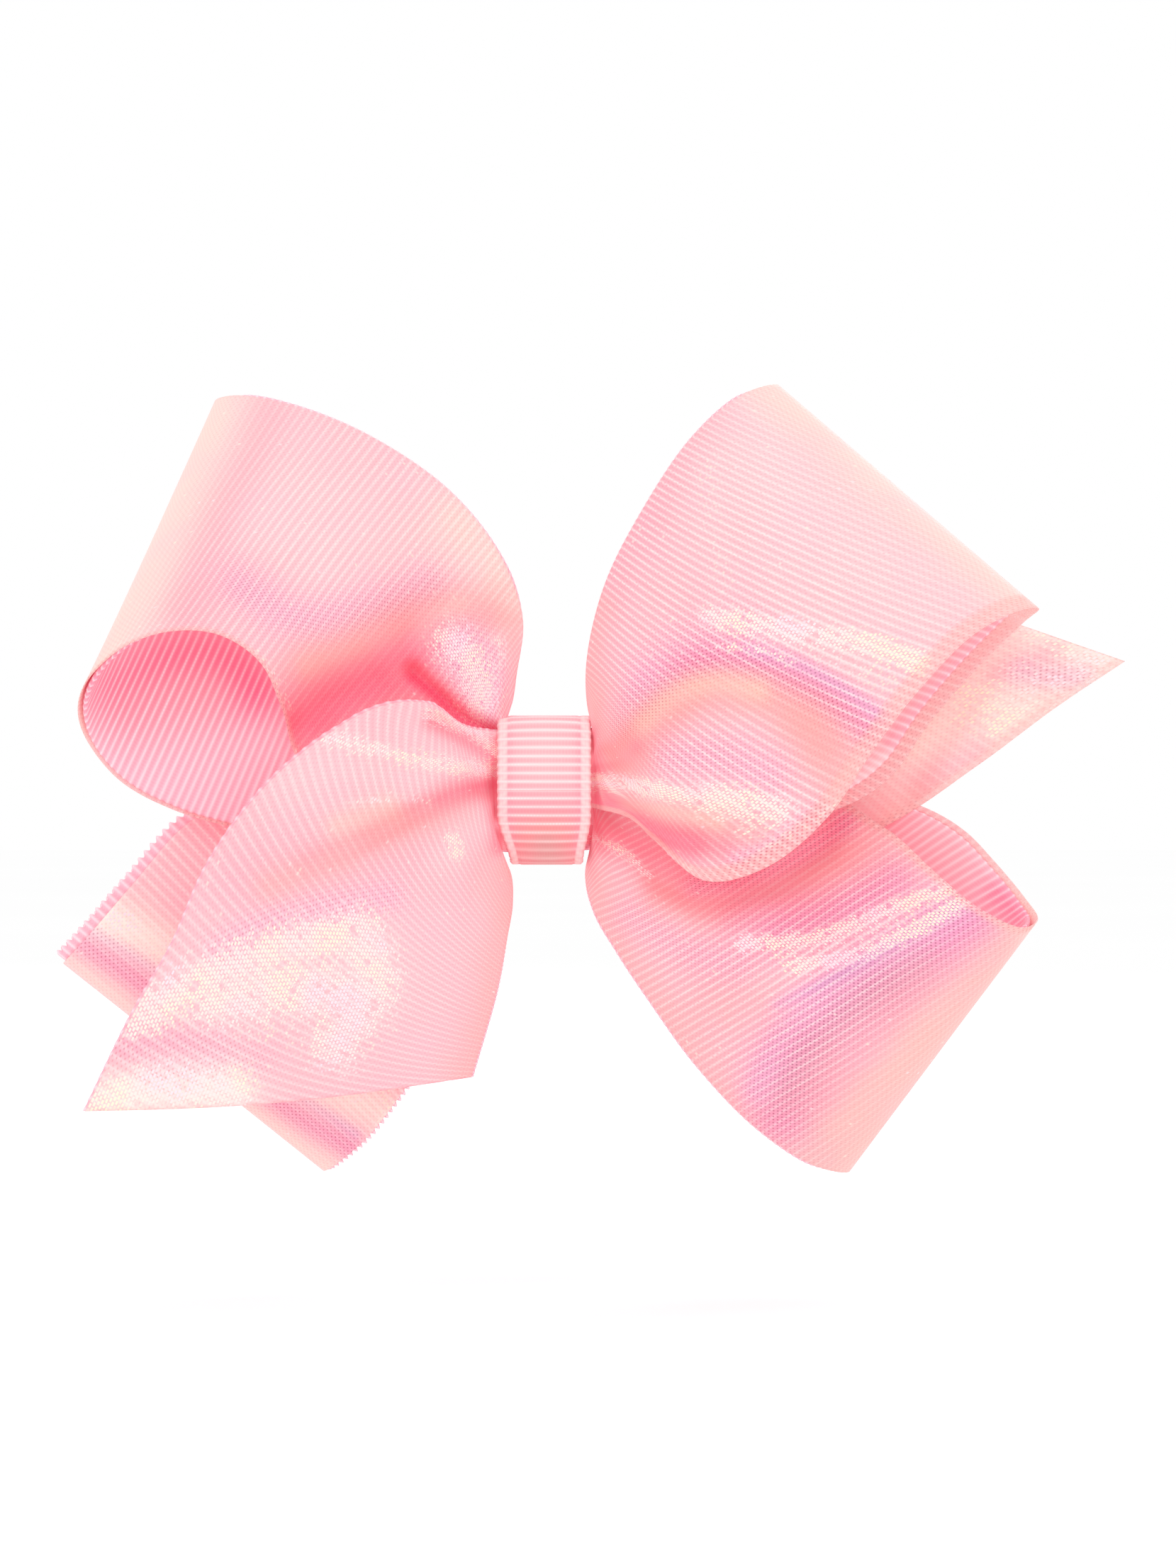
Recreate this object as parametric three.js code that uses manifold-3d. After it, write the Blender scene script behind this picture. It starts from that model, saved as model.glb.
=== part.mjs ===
// Hair bow: a twisted boutique bow of grosgrain ribbon under a sheer iridescent ribbon, bound at the middle,
// wrapped with narrow grosgrain and fixed to a sprung alligator hair clip.
//
// Frame: millimetres, X to the wearer's right as seen from the front, Z up, the bow faces -Y. The origin is in the
// mouth of the clip, where it holds the hair, straight behind the middle of the wrap.
import * as THREE from "three";
import { mergeVertices } from "three/addons/utils/BufferGeometryUtils.js";
import Module from "manifold-3d";

const wasm = await Module();
wasm.setup();

// ---- driving dimensions -------------------------------------------------------------------------------------
const CLEARANCE = 0.3; // left between two pieces that touch

const BOW_SCALE_X = 1; // spread of the loops and tails along X
const BOW_SCALE_Z = 1; // spread of the loops and tails along Z

const RIBBON_WIDTH = 38;
const GROSGRAIN_THICKNESS = 0.5;
const OVERLAY_THICKNESS = 0.2;
const PASS_GAP = 0.5; // between one pass of the ribbons and the next, where they cross the wrap
const PASS_MARGIN = 0.35; // gathered ribbon left in front of the first pass and behind the last
const PASSES = 5;
const PLEAT_DEPTH = 0.7;
const PLEAT_PITCH = 8;
const PLEAT_FADE = 5; // distance from the wrap over which the pleats open out
const PLEATS_HALF_HEIGHT = 7.7; // half height that the gathered runs are drawn for
const NEST_LENGTH = 4; // distance from the wrap over which the passes keep the same shape
const PUFF_START = 0.1; // shares of a loop's length over which its front layer puffs out and in again
const PUFF_RISE = 0.18;
const PUFF_FALL = 0.16;
const LENGTH_STEPS_LOOP = 24;
const LENGTH_STEPS_TAIL = 12;
const WIDTH_STEPS = 8;

const WRAP_WIDTH = 9.5;
const WRAP_HEIGHT = 15.4;
const WRAP_THICKNESS = 0.5;

const THREAD_DIAMETER = 0.6;
const THREAD_TURNS = 3;
const GLUE_THICKNESS = 0.8;

const SHEET_STEEL = 0.6; // clip's sheet metal
const CLIP_WIDTH = 8;
const JAW_FRONT_X = 24; // tip of the front jaw
const JAW_REAR_X = -25; // finger end of the front jaw
const LINING_THICKNESS = 0.3;
const MOUTH = 0.3; // from the wrap's back strand to the rear jaw
const PIN_DIAMETER = 1.2;
const HINGE_X = -14;
const HINGE_Y = 1;
const EAR_LENGTH = 6;
const SPRING_WIRE = 0.5;
const SPRING_TURNS = 4;
const LEVER_RISE = 8; // how far the finger lever stands off behind the bow
const TOOTH_PITCH = 1.6;
const TOOTH_DEPTH = 0.6;
const JAW_STRAIGHT_X = -7; // from here the rear jaw lies straight along the mouth
const JAW_TIP_BEND_X = 18; // from here it bends in to the tip

// ---- finer shape --------------------------------------------------------------------------------------------
const FRONT_FLAT_SHARE = 0.75; // share of the wrap's half height that its front stays nearly flat for
const FRONT_PULL = 1.2; // how sharply the wrap's front turns under
const FRONT_TURN = 3.4; // depth from the wrap's front to where its top and bottom run level
const REAR_PULL = 5.5; // depth from the wrap's front to where its top starts to draw in round the clip
const SHOULDER_DEPTH = 0.6; // from the back of the gathers to the wrap's narrow part
const SHOULDER_ROUND = 0.4;
const NECK_ROUND = 0.3;
const NECK_LENGTH = 0.8;
const WRAP_CORNER = 0.5;
const CENTRE_RADIUS = 3;
const GLUE_MARGIN = 0.7; // the glue stays short of the wrap's edges
const GLUE_RADIUS = 0.35;
const LINING_MARGIN = 0.2;
const LINING_TIP_MARGIN = 0.5;
const EAR_SHARE = 1 / 3; // half width of an ear's top, as a share of its length
const BRIDGE_BACK = 1; // from the hinge back to where the lever bends out
const BRIDGE_FRONT = 1.5; // from the hinge forward to where the jaw bends in
const BEND_EASE = 0.5; // how much further the outer side of that bend reaches
const CHEEK_BACK = 2;
const CHEEK_WAIST = 1.6;
const CHEEK_RISE = 0.6;
const JOIN = 0.3; // how far a cheek runs into the strip it is joined to
const COMB_JOIN = 0.1;
const COMB_MARGIN = 0.5; // from the ribbons' start to the first tooth
const PIN_HEAD_RIM = 0.4;
const PIN_HEAD_THICKNESS = 0.5;
const SPRING_LEG = 3.5;
const SPRING_LEG_SHARE = 0.1; // share of the wire drawn as each leg
const OVERCUT = 0.2; // how far a cutting body stands off outside what it cuts
const OVERRUN = 2; // how far a cutting body runs on past what it cuts, both ends together

// ---- mesh fineness ------------------------------------------------------------------------------------------
const ARC_STEPS = 8;
const GATHER_ARC_STEPS = 6;
const THREAD_STEPS_PER_TURN = 28;
const WIRE_SIDES = 6;
const SPRING_STEPS = 72;
const PIN_SIDES = 16;
const CURVE_STEPS_PER_SPAN = 20;

// ---- stations through the depth of the bow, front to back ---------------------------------------------------
const wrapBack = -MOUTH / 2;
const liningBack = wrapBack - WRAP_THICKNESS - CLEARANCE;
const frontJawBack = liningBack - LINING_THICKNESS - CLEARANCE;
const frontJawFront = frontJawBack - SHEET_STEEL;
const glueBack = frontJawFront - CLEARANCE;
const glueFront = glueBack - GLUE_THICKNESS;
const centreBack = glueFront - CLEARANCE;
const passDepth = GROSGRAIN_THICKNESS + CLEARANCE + OVERLAY_THICKNESS;
const centreDepth = PASSES * passDepth + (PASSES - 1) * PASS_GAP + 2 * PASS_MARGIN;
const centreFront = centreBack - centreDepth;
const wrapFront = centreFront - CLEARANCE - WRAP_THICKNESS;
const ribbonStart = WRAP_WIDTH / 2 + CLEARANCE; // |x| where the ribbons leave the wrap
const rearJawInner = MOUTH / 2;
const rearJawOuter = rearJawInner + SHEET_STEEL;

// ---- materials ----------------------------------------------------------------------------------------------
function material(color, roughness, metalness = 0) {
  return new THREE.MeshStandardMaterial({ color, roughness, metalness });
}
const grosgrain = () => material(0xf7a1b5, 0.75);
const overlay = () => material(0xfbd3dc, 0.35);
const steel = () => material(0xc9ccd1, 0.3, 1);

const bow = new THREE.Group();

function add(name, geometry, finish, parent = bow) {
  const mesh = new THREE.Mesh(geometry, finish);
  mesh.name = name;
  parent.add(mesh);
  return mesh;
}

// ---- booleans -----------------------------------------------------------------------------------------------
function solid(geometry) {
  const bare = geometry.clone();
  bare.deleteAttribute("normal");
  bare.deleteAttribute("uv");
  const merged = mergeVertices(bare, 1e-4);
  const vertProperties = new Float32Array(merged.attributes.position.array);
  const triVerts = new Uint32Array(merged.index.array);
  return new wasm.Manifold(new wasm.Mesh({ numProp: 3, vertProperties, triVerts }));
}

function geometryOf(body) {
  const mesh = body.getMesh();
  const geometry = new THREE.BufferGeometry();
  geometry.setAttribute("position", new THREE.BufferAttribute(new Float32Array(mesh.vertProperties), 3));
  geometry.setIndex(new THREE.BufferAttribute(new Uint32Array(mesh.triVerts), 1));
  geometry.computeVertexNormals();
  return geometry;
}

// ---- ribbon runs --------------------------------------------------------------------------------------------
// A run of ribbon is ruled between two edge curves: edge a is v = 0 and edge b is v = 1. Their points are [x, y, z]
// with x from the side of the wrap, y from the station of the run's pass through the middle, and z from the
// middle of the wrap. In a loop, foldA and foldB number the points where the ribbon turns back. "crown" is how far
// the front layer puffs out, over the share "crownSpan" of the width from edge a, and "lead" is how far the sheer
// ribbon stands past the grosgrain along edge b.

const RUNS = {
  front_tail: {
    a: [
      [0, 0, 6], [-3.15, -2.4, 6.6], [-6.45, -4.4, 8.8], [-9.85, -5.8, 9], [-13.45, -6.8, 7.9],
      [-18.55, -7.6, 4.7], [-23.65, -8.1, 0.2], [-29.15, -8.1, -7.3], [-33.05, -7.6, -15.9], [-37.15, -7.1, -23],
      [-42.05, -6.6, -33],
    ],
    b: [
      [0, 0, -6.2], [0.1, -0.8, -8.9], [1.55, -2, -12], [1.25, -3.4, -15.1], [0.15, -4.6, -20.6],
      [-2.45, -5.6, -29.5],
    ],
    lead: 0,
  },
  upper_left_loop: {
    a: [
      [0, 0, 6.2], [-0.6, 0, 8.6], [1.9, -0.4, 12.6], [2.95, -0.9, 17.6], [0.95, -1.7, 24.4],
      [-4.35, -2.9, 31.4], [-12.95, -4.4, 37.2], [-21.45, -6.5, 40.2], [-26.45, -6.5, 40.9], [-28.95, -3.4, 40.1],
      [-25.45, -0.8, 38.6], [-18.95, -0.6, 34], [-10.95, -0.5, 24], [-4.45, -0.3, 13.5], [0, 0, 6],
    ],
    b: [
      [0, 0, -6], [-4.95, -0.8, -4.5], [-12.95, -1.8, -1.5], [-20.35, -3.4, 3.2], [-22.05, -5.4, 8.6],
      [-24.15, -7.4, 13.2], [-28.35, -8.4, 16], [-33.45, -8.7, 16.3], [-38.15, -7.9, 14.7], [-41.95, -5.7, 11.4],
      [-43.15, -3.4, 8.2], [-42.35, -2.1, 5.2], [-38.95, -1.1, 1], [-33.45, -0.8, -2], [-27.15, -0.8, -3.8],
      [-16.95, -0.7, -5], [-6.95, -0.7, -5.8], [0, 0, -6.2],
    ],
    foldA: 9,
    foldB: 10,
    crown: 7,
    crownSpan: 1,
    lead: 0.6,
  },
  lower_left_loop: {
    a: [
      [0, 0, -5.6], [-0.25, 0, -8.8], [-0.45, -0.5, -13], [-2.95, -1.2, -19.5], [-6.45, -1.7, -26],
      [-9.75, -2.3, -31.4], [-13.95, -2.7, -36.6], [-17.75, -0.4, -39.1], [-14.45, 2.4, -34.5], [-7.95, 2.9, -24],
      [-2.95, 2.1, -14], [0, 0, -5.8],
    ],
    b: [
      [0, 0, 5.6], [-8.95, 0.4, 4], [-20.95, 0.5, 2], [-28.95, 0.5, -0.8], [-33.15, 0.3, -3.2],
      [-38.35, -0.7, -9.1], [-42.35, -1.5, -13.8], [-45.75, 0, -17.5], [-42.95, 2.5, -14.6], [-37.95, 3.1, -8.8],
      [-29.95, 1.6, -2.4], [-18.95, 0.8, 2], [-8.95, 0.7, 4.2], [0, 0, 5.2],
    ],
    foldA: 7,
    foldB: 7,
    crown: 2.5,
    crownSpan: 0.7,
    lead: -1,
  },
  upper_right_loop: {
    a: [
      [0, 0, 6.2], [0.05, -0.2, 9.2], [-0.55, -0.6, 13.7], [1.15, -1.2, 21], [4.55, -2.2, 27.9],
      [10.15, -4.1, 36.2], [15.35, -6.2, 40.8], [19.55, -3.5, 42.1], [16.95, -1.6, 39], [11.95, -1.8, 31],
      [6.95, -1.6, 20], [2.45, -0.8, 11], [0, 0, 6],
    ],
    b: [
      [0, 0, -1.8], [3.75, -2, -2.9], [6.45, -3.2, -5.3], [11.55, -4.8, -9.3], [17.85, -5.6, -7.9],
      [24.15, -6.1, -2.7], [28.65, -6.6, 3.9], [33.05, -7.1, 9.8], [38.95, -7.1, 15.9], [43.95, -5.6, 18.8],
      [46.35, -3.5, 19.1], [44.55, -2.1, 17.4], [39.65, -1.8, 12.6], [34.65, -1.8, 6.8], [30.95, -1.9, 1.6],
      [26.35, -2, -1.5], [16.95, -2, -3.4], [6.95, -1.3, -3.4], [0, 0, -1.6],
    ],
    foldA: 7,
    foldB: 10,
    crown: 6,
    crownSpan: 1,
    lead: 2,
  },
  lower_right_loop: {
    a: [
      [0, 0, -5.6], [0.05, -0.6, -8.8], [0.35, -1.4, -12.6], [2.15, -2.2, -16.6], [5.35, -3, -21.8],
      [10.35, -4.2, -28.9], [16.35, -5.8, -35.2], [22.55, -7, -39.1], [26.75, -4.65, -39.6],
      [23.45, -2.1, -36.2], [15.95, 0.1, -27], [7.95, 0.9, -17], [2.45, 0.9, -10], [0, 0, -6],
    ],
    b: [
      [0, 0, 5.2], [6.95, -0.7, 3.2], [14.95, -0.9, 1.5], [21.95, -0.9, 0.3], [26.05, -1, -1.2],
      [28.35, -2.4, -2.8], [31.35, -4.2, -4.8], [35.15, -5.8, -8.4], [39.45, -6.8, -12], [43.95, -6.2, -14.2],
      [46.05, -4.45, -13.4], [45.15, -2.9, -11], [42.15, -1.5, -6.9], [39.05, -0.7, -3.8], [34.65, -0.1, -1.7],
      [24.95, 0.7, 1], [12.95, 1.1, 3], [0, 0, 5],
    ],
    foldA: 8,
    foldB: 10,
    crown: 7,
    crownSpan: 0.8,
    lead: 1,
  },
  rear_tail: {
    a: [
      [0, 0, 6.2], [2.95, -0.1, 12], [6.95, -0.5, 20.5], [11.45, -0.7, 28.6],
    ],
    b: [
      [0, 0, -5.6], [8.95, -0.3, -7.2], [20.95, -0.5, -7], [30.05, -0.7, -3.9], [40.15, -0.7, 2.7],
      [47.95, -0.9, 8.5], [55.25, -1.1, 13.4],
    ],
    lead: 1,
  },
};

// Where each pass of a side crosses the wrap, from front to back. The sheer ribbon lies in front of a tail and of
// a loop's front layer, and behind a loop's back layer.
function passStations(order) {
  const stations = {};
  let y = centreFront + PASS_MARGIN;
  for (const [name, layer] of order) {
    const sheer = CLEARANCE + OVERLAY_THICKNESS;
    if (layer === "front") y += sheer;
    stations[name] ??= {};
    stations[name][layer] = y + GROSGRAIN_THICKNESS / 2;
    y += GROSGRAIN_THICKNESS + PASS_GAP;
    if (layer === "back") y += sheer;
  }
  return stations;
}

const stations = {
  ...passStations([
    ["front_tail", "front"],
    ["upper_left_loop", "front"],
    ["upper_left_loop", "back"],
    ["lower_left_loop", "front"],
    ["lower_left_loop", "back"],
  ]),
  ...passStations([
    ["upper_right_loop", "front"],
    ["upper_right_loop", "back"],
    ["lower_right_loop", "front"],
    ["rear_tail", "front"],
    ["lower_right_loop", "back"],
  ]),
};

const clamp = (value, low, high) => Math.min(high, Math.max(low, value));

// An edge curve set beside the wrap: its points spread with the bow's scale and move out with the wrap's size.
function edgeCurve(name, points, fold) {
  const side = name.includes("left") || name === "front_tail" ? -1 : 1;
  const { front, back } = stations[name];
  const stationAt = (index) => {
    if (fold === undefined || index < fold) return front;
    return index > fold ? back : (front + back) / 2;
  };
  const rise = WRAP_HEIGHT / 2 - PLEATS_HALF_HEIGHT;
  const placed = points.map(([x, y, z], index) => {
    const lift = rise * clamp(z / PLEATS_HALF_HEIGHT, -1, 1);
    return new THREE.Vector3(side * ribbonStart + x * BOW_SCALE_X, stationAt(index) + y, z * BOW_SCALE_Z + lift);
  });
  return new THREE.CatmullRomCurve3(placed, false, "centripetal");
}

// The share of the curve's length at which it passes its point number "index".
function lengthShare(curve, index) {
  const divisions = (curve.points.length - 1) * CURVE_STEPS_PER_SPAN;
  const lengths = curve.getLengths(divisions);
  return lengths[index * CURVE_STEPS_PER_SPAN] / lengths[divisions];
}

// 0 below t = 0 and 1 above t = 1, with a smooth cubic step between.
const smooth = (t) => {
  const k = clamp(t, 0, 1);
  return k * k * (3 - 2 * k);
};

// A run as a surface: its position at (u, v), where u goes along the ribbon (a loop's fold is at u = 0.5) and v
// goes across it. "fromWrap" is the distance along the ribbon to the wrap.
function ribbonSurface(name, run) {
  const a = edgeCurve(name, run.a, run.foldA);
  const b = edgeCurve(name, run.b, run.foldB);
  const isLoop = run.foldA !== undefined;
  const shareA = isLoop ? lengthShare(a, run.foldA) : 1;
  const shareB = isLoop ? lengthShare(b, run.foldB) : 1;
  const runLength = (a.getLength() + b.getLength()) / 2;
  const startA = a.points[0].z;
  const startB = b.points[0].z;
  const along = (share, u) => {
    if (!isLoop) return u;
    return u < 0.5 ? share * u * 2 : share + (1 - share) * (u - 0.5) * 2;
  };
  const fromWrap = (u) => (isLoop ? Math.min(u, 1 - u) : u) * runLength;
  const at = (u, v) => {
    const point = a.getPointAt(along(shareA, u)).lerp(b.getPointAt(along(shareB, u)), v);
    const startZ = startA + (startB - startA) * v;
    const fade = Math.exp(-((fromWrap(u) / PLEAT_FADE) ** 2));
    point.y += PLEAT_DEPTH * fade * Math.cos((2 * Math.PI * startZ) / PLEAT_PITCH);
    if (isLoop && u < 0.5) {
      const puff = smooth((u - PUFF_START) / PUFF_RISE) * smooth((0.5 - u) / PUFF_FALL);
      point.y -= run.crown * puff * Math.sin(Math.PI * clamp(v / run.crownSpan, 0, 1)) ** 2;
    }
    return point;
  };
  return { at, fromWrap, isLoop };
}

// +1 when the surface normal du x dv points forward (-Y) on the front layer, else -1.
function outwardSign(surface) {
  const u = 0.2;
  const step = 0.01;
  const du = surface.at(u + step, 0.5).sub(surface.at(u - step, 0.5));
  const dv = surface.at(u, 0.5 + step).sub(surface.at(u, 0.5 - step));
  return du.cross(dv).y < 0 ? 1 : -1;
}

// A sheet of the run as one closed body: two skins half a thickness either side of a surface that lies "offset"
// out from the run's own, from edge share v0 to v1. Near the wrap the offset is straight along Y, so that the
// passes nest.
function ribbonSheet(surface, offset, thickness, v0, v1) {
  const rows = surface.isLoop ? LENGTH_STEPS_LOOP : LENGTH_STEPS_TAIL;
  const columns = WIDTH_STEPS;
  const outward = outwardSign(surface);
  const middle = (i, j) => surface.at(i / rows, v0 + ((v1 - v0) * j) / columns);
  const offsetDirection = (i, j) => {
    const step = 0.2; // share of a grid step that the tangents are measured over
    const du = middle(Math.min(rows, i + step), j).sub(middle(Math.max(0, i - step), j));
    const dv = middle(i, Math.min(columns, j + step)).sub(middle(i, Math.max(0, j - step)));
    const normal = du.cross(dv).normalize().multiplyScalar(outward);
    const backLayer = surface.isLoop && i > rows / 2;
    const straight = new THREE.Vector3(0, backLayer ? 1 : -1, 0);
    const fade = Math.exp(-((surface.fromWrap(i / rows) / NEST_LENGTH) ** 2));
    return normal.lerp(straight, fade).normalize();
  };
  const positions = [];
  for (const side of [1, -1]) {
    for (let i = 0; i <= rows; i++) {
      for (let j = 0; j <= columns; j++) {
        const point = middle(i, j).addScaledVector(offsetDirection(i, j), offset + (side * thickness) / 2);
        positions.push(point.x, point.y, point.z);
      }
    }
  }
  const layer = (rows + 1) * (columns + 1);
  const at = (side, i, j) => side * layer + i * (columns + 1) + j;
  const index = [];
  const quad = (p, q, r, s) => {
    if (outward > 0) index.push(p, q, r, p, r, s);
    else index.push(p, r, q, p, s, r);
  };
  for (let i = 0; i < rows; i++) {
    for (let j = 0; j < columns; j++) {
      quad(at(0, i, j), at(0, i + 1, j), at(0, i + 1, j + 1), at(0, i, j + 1));
      quad(at(1, i, j), at(1, i, j + 1), at(1, i + 1, j + 1), at(1, i + 1, j));
    }
    quad(at(0, i, 0), at(1, i, 0), at(1, i + 1, 0), at(0, i + 1, 0));
    quad(at(0, i, columns), at(0, i + 1, columns), at(1, i + 1, columns), at(1, i, columns));
  }
  for (let j = 0; j < columns; j++) {
    quad(at(0, 0, j), at(0, 0, j + 1), at(1, 0, j + 1), at(1, 0, j));
    quad(at(0, rows, j), at(1, rows, j), at(1, rows, j + 1), at(0, rows, j + 1));
  }
  const geometry = new THREE.BufferGeometry();
  geometry.setAttribute("position", new THREE.Float32BufferAttribute(positions, 3));
  geometry.setIndex(index);
  geometry.computeVertexNormals();
  return geometry;
}

function addRun(name, run) {
  const surface = ribbonSurface(name, run);
  const share = run.lead / RIBBON_WIDTH;
  const baseEnd = clamp(1 - share, 0, 1);
  const baseStart = clamp(-share, 0, 1);
  const sheerStart = clamp(share, 0, 1);
  const sheerEnd = clamp(1 + share, 0, 1);
  const sheerOffset = GROSGRAIN_THICKNESS / 2 + CLEARANCE + OVERLAY_THICKNESS / 2;
  add(`${name}_grosgrain`, ribbonSheet(surface, 0, GROSGRAIN_THICKNESS, baseStart, baseEnd), grosgrain());
  add(`${name}_sheer`, ribbonSheet(surface, sheerOffset, OVERLAY_THICKNESS, sheerStart, sheerEnd), overlay());
}

for (const [name, run] of Object.entries(RUNS)) addRun(name, run);

// ---- bound middle -------------------------------------------------------------------------------------------
const wrapHalf = WRAP_HEIGHT / 2;
const clipHalf = CLIP_WIDTH / 2 + CLEARANCE + WRAP_THICKNESS;

// A rectangle with round corners in (Y, Z), from y0 to y1.
function roundedBox(y0, y1, halfZ, radius) {
  const shape = new THREE.Shape();
  shape.moveTo(y0 + radius, -halfZ);
  shape.lineTo(y1 - radius, -halfZ);
  shape.absarc(y1 - radius, -halfZ + radius, radius, -Math.PI / 2, 0);
  shape.lineTo(y1, halfZ - radius);
  shape.absarc(y1 - radius, halfZ - radius, radius, 0, Math.PI / 2);
  shape.lineTo(y0 + radius, halfZ);
  shape.absarc(y0 + radius, halfZ - radius, radius, Math.PI / 2, Math.PI);
  shape.lineTo(y0, -halfZ + radius);
  shape.absarc(y0 + radius, -halfZ + radius, radius, Math.PI, 1.5 * Math.PI);
  return shape;
}

// Extrudes an outline drawn in (Y, Z) along X, from x = -length / 2 to length / 2.
function alongX(shape, length, curveSegments = GATHER_ARC_STEPS) {
  const geometry = new THREE.ExtrudeGeometry(shape, { depth: length, bevelEnabled: false, curveSegments });
  geometry.translate(0, 0, -length / 2);
  const axes = new THREE.Matrix4().makeBasis(
    new THREE.Vector3(0, 1, 0),
    new THREE.Vector3(0, 0, 1),
    new THREE.Vector3(1, 0, 0),
  );
  geometry.applyMatrix4(axes);
  return geometry;
}

const waistDepth = THREAD_DIAMETER + CLEARANCE;
const wrapBore = WRAP_THICKNESS + CLEARANCE; // from the wrap's outer face to the gathers
const waistWidth = THREAD_TURNS * (THREAD_DIAMETER + CLEARANCE) + 2 * CLEARANCE + THREAD_DIAMETER;

// Front of the wrap from its middle to the bottom (sign -1) or from the top to its middle (sign 1), shrunk by
// "inset": nearly flat, then round at the edge.
function frontCurve(shape, inset, sign) {
  const front = wrapFront + inset;
  const tall = sign * (wrapHalf - inset);
  const turned = tall * FRONT_FLAT_SHARE;
  if (sign < 0) shape.bezierCurveTo(front, turned, front + FRONT_PULL, tall, front + FRONT_TURN, tall);
  else shape.bezierCurveTo(front + FRONT_PULL, tall, front, turned, front, 0);
}

// Outline of the gathers in (Y, Z): the wrap's front, and a rounded back. "inset" shrinks it further.
function gatherOutline(inset) {
  const total = wrapBore + inset;
  const back = centreBack - inset;
  const tall = wrapHalf - total;
  const radius = CENTRE_RADIUS - inset;
  const shape = new THREE.Shape();
  shape.moveTo(wrapFront + total, 0);
  frontCurve(shape, total, -1);
  shape.lineTo(back - radius, -tall);
  shape.absarc(back - radius, -tall + radius, radius, -Math.PI / 2, 0);
  shape.lineTo(back, tall - radius);
  shape.absarc(back - radius, tall - radius, radius, 0, Math.PI / 2);
  shape.lineTo(wrapFront + total + FRONT_TURN, tall);
  frontCurve(shape, total, 1);
  return shape;
}

function gatheredCentre() {
  const full = solid(alongX(gatherOutline(0), WRAP_WIDTH));
  const around = solid(alongX(gatherOutline(-OVERCUT), waistWidth));
  const core = solid(alongX(gatherOutline(waistDepth), waistWidth + OVERRUN));
  return geometryOf(full.subtract(around.subtract(core)));
}
add("gathered_centre", gatheredCentre(), material(0xef8fa6, 0.8));

// The thread lies in the waist: turns side by side round the rounded outline.
class WoundThread extends THREE.Curve {
  constructor(outline, turns, pitch) {
    super();
    this.outline = outline;
    this.turns = turns;
    this.pitch = pitch;
  }

  getPoint(t, target = new THREE.Vector3()) {
    const turn = t * this.turns;
    const flat = this.outline.getPointAt(turn % 1);
    return target.set((turn - this.turns / 2) * this.pitch, flat.x, flat.y);
  }
}

function circle(radius, sides) {
  const shape = new THREE.Shape();
  for (let k = 0; k < sides; k++) {
    const angle = (2 * Math.PI * k) / sides;
    const point = [radius * Math.cos(angle), radius * Math.sin(angle)];
    if (k === 0) shape.moveTo(...point);
    else shape.lineTo(...point);
  }
  shape.closePath();
  return shape;
}

function bindingThread() {
  const seat = waistDepth - CLEARANCE - THREAD_DIAMETER / 2;
  const outline = gatherOutline(seat);
  const path = new WoundThread(outline, THREAD_TURNS, THREAD_DIAMETER + CLEARANCE);
  const section = circle(THREAD_DIAMETER / 2, WIRE_SIDES);
  const steps = THREAD_TURNS * THREAD_STEPS_PER_TURN;
  return new THREE.ExtrudeGeometry(section, { steps, extrudePath: path, bevelEnabled: false });
}
add("binding_thread", bindingThread(), material(0xf3b6c4, 0.7));

// The wrap is a closed band: it goes round the gathers, the glue and the front jaw with its lining.
function wrapOutline(inset) {
  const front = wrapFront + inset;
  const back = wrapBack - inset;
  const tall = wrapHalf - inset;
  const narrow = clipHalf - inset;
  const shoulder = centreBack + SHOULDER_DEPTH;
  const neck = shoulder + NECK_ROUND;
  const neckEnd = shoulder + NECK_LENGTH;
  const drawn = front + REAR_PULL;
  const turn = tall - SHOULDER_ROUND;
  const drop = narrow + SHOULDER_ROUND;
  const shape = new THREE.Shape();
  shape.moveTo(front, 0);
  frontCurve(shape, inset, -1);
  shape.bezierCurveTo(drawn, -tall, shoulder - SHOULDER_DEPTH, -turn, shoulder, -drop);
  shape.bezierCurveTo(neck, -narrow, neck, -narrow, neckEnd, -narrow);
  shape.lineTo(back - WRAP_CORNER, -narrow);
  shape.quadraticCurveTo(back, -narrow, back, -narrow + WRAP_CORNER);
  shape.lineTo(back, narrow - WRAP_CORNER);
  shape.quadraticCurveTo(back, narrow, back - WRAP_CORNER, narrow);
  shape.lineTo(neckEnd, narrow);
  shape.bezierCurveTo(neck, narrow, neck, narrow, shoulder, drop);
  shape.bezierCurveTo(shoulder - SHOULDER_DEPTH, turn, drawn, tall, front + FRONT_TURN, tall);
  frontCurve(shape, inset, 1);
  return shape;
}

function centreWrap() {
  const outer = solid(alongX(wrapOutline(0), WRAP_WIDTH, ARC_STEPS));
  const inner = solid(alongX(wrapOutline(WRAP_THICKNESS), WRAP_WIDTH + OVERRUN, ARC_STEPS));
  return geometryOf(outer.subtract(inner));
}
add("centre_wrap", centreWrap(), material(0xf9a9b9, 0.75));

const glueHalf = CLIP_WIDTH / 2 - GLUE_MARGIN;
const glueOutline = roundedBox(glueFront, glueBack, glueHalf, GLUE_RADIUS);
const gluePad = alongX(glueOutline, WRAP_WIDTH - 2 * GLUE_MARGIN);
add("glue_pad", gluePad, material(0xf2e9d8, 0.35));

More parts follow.
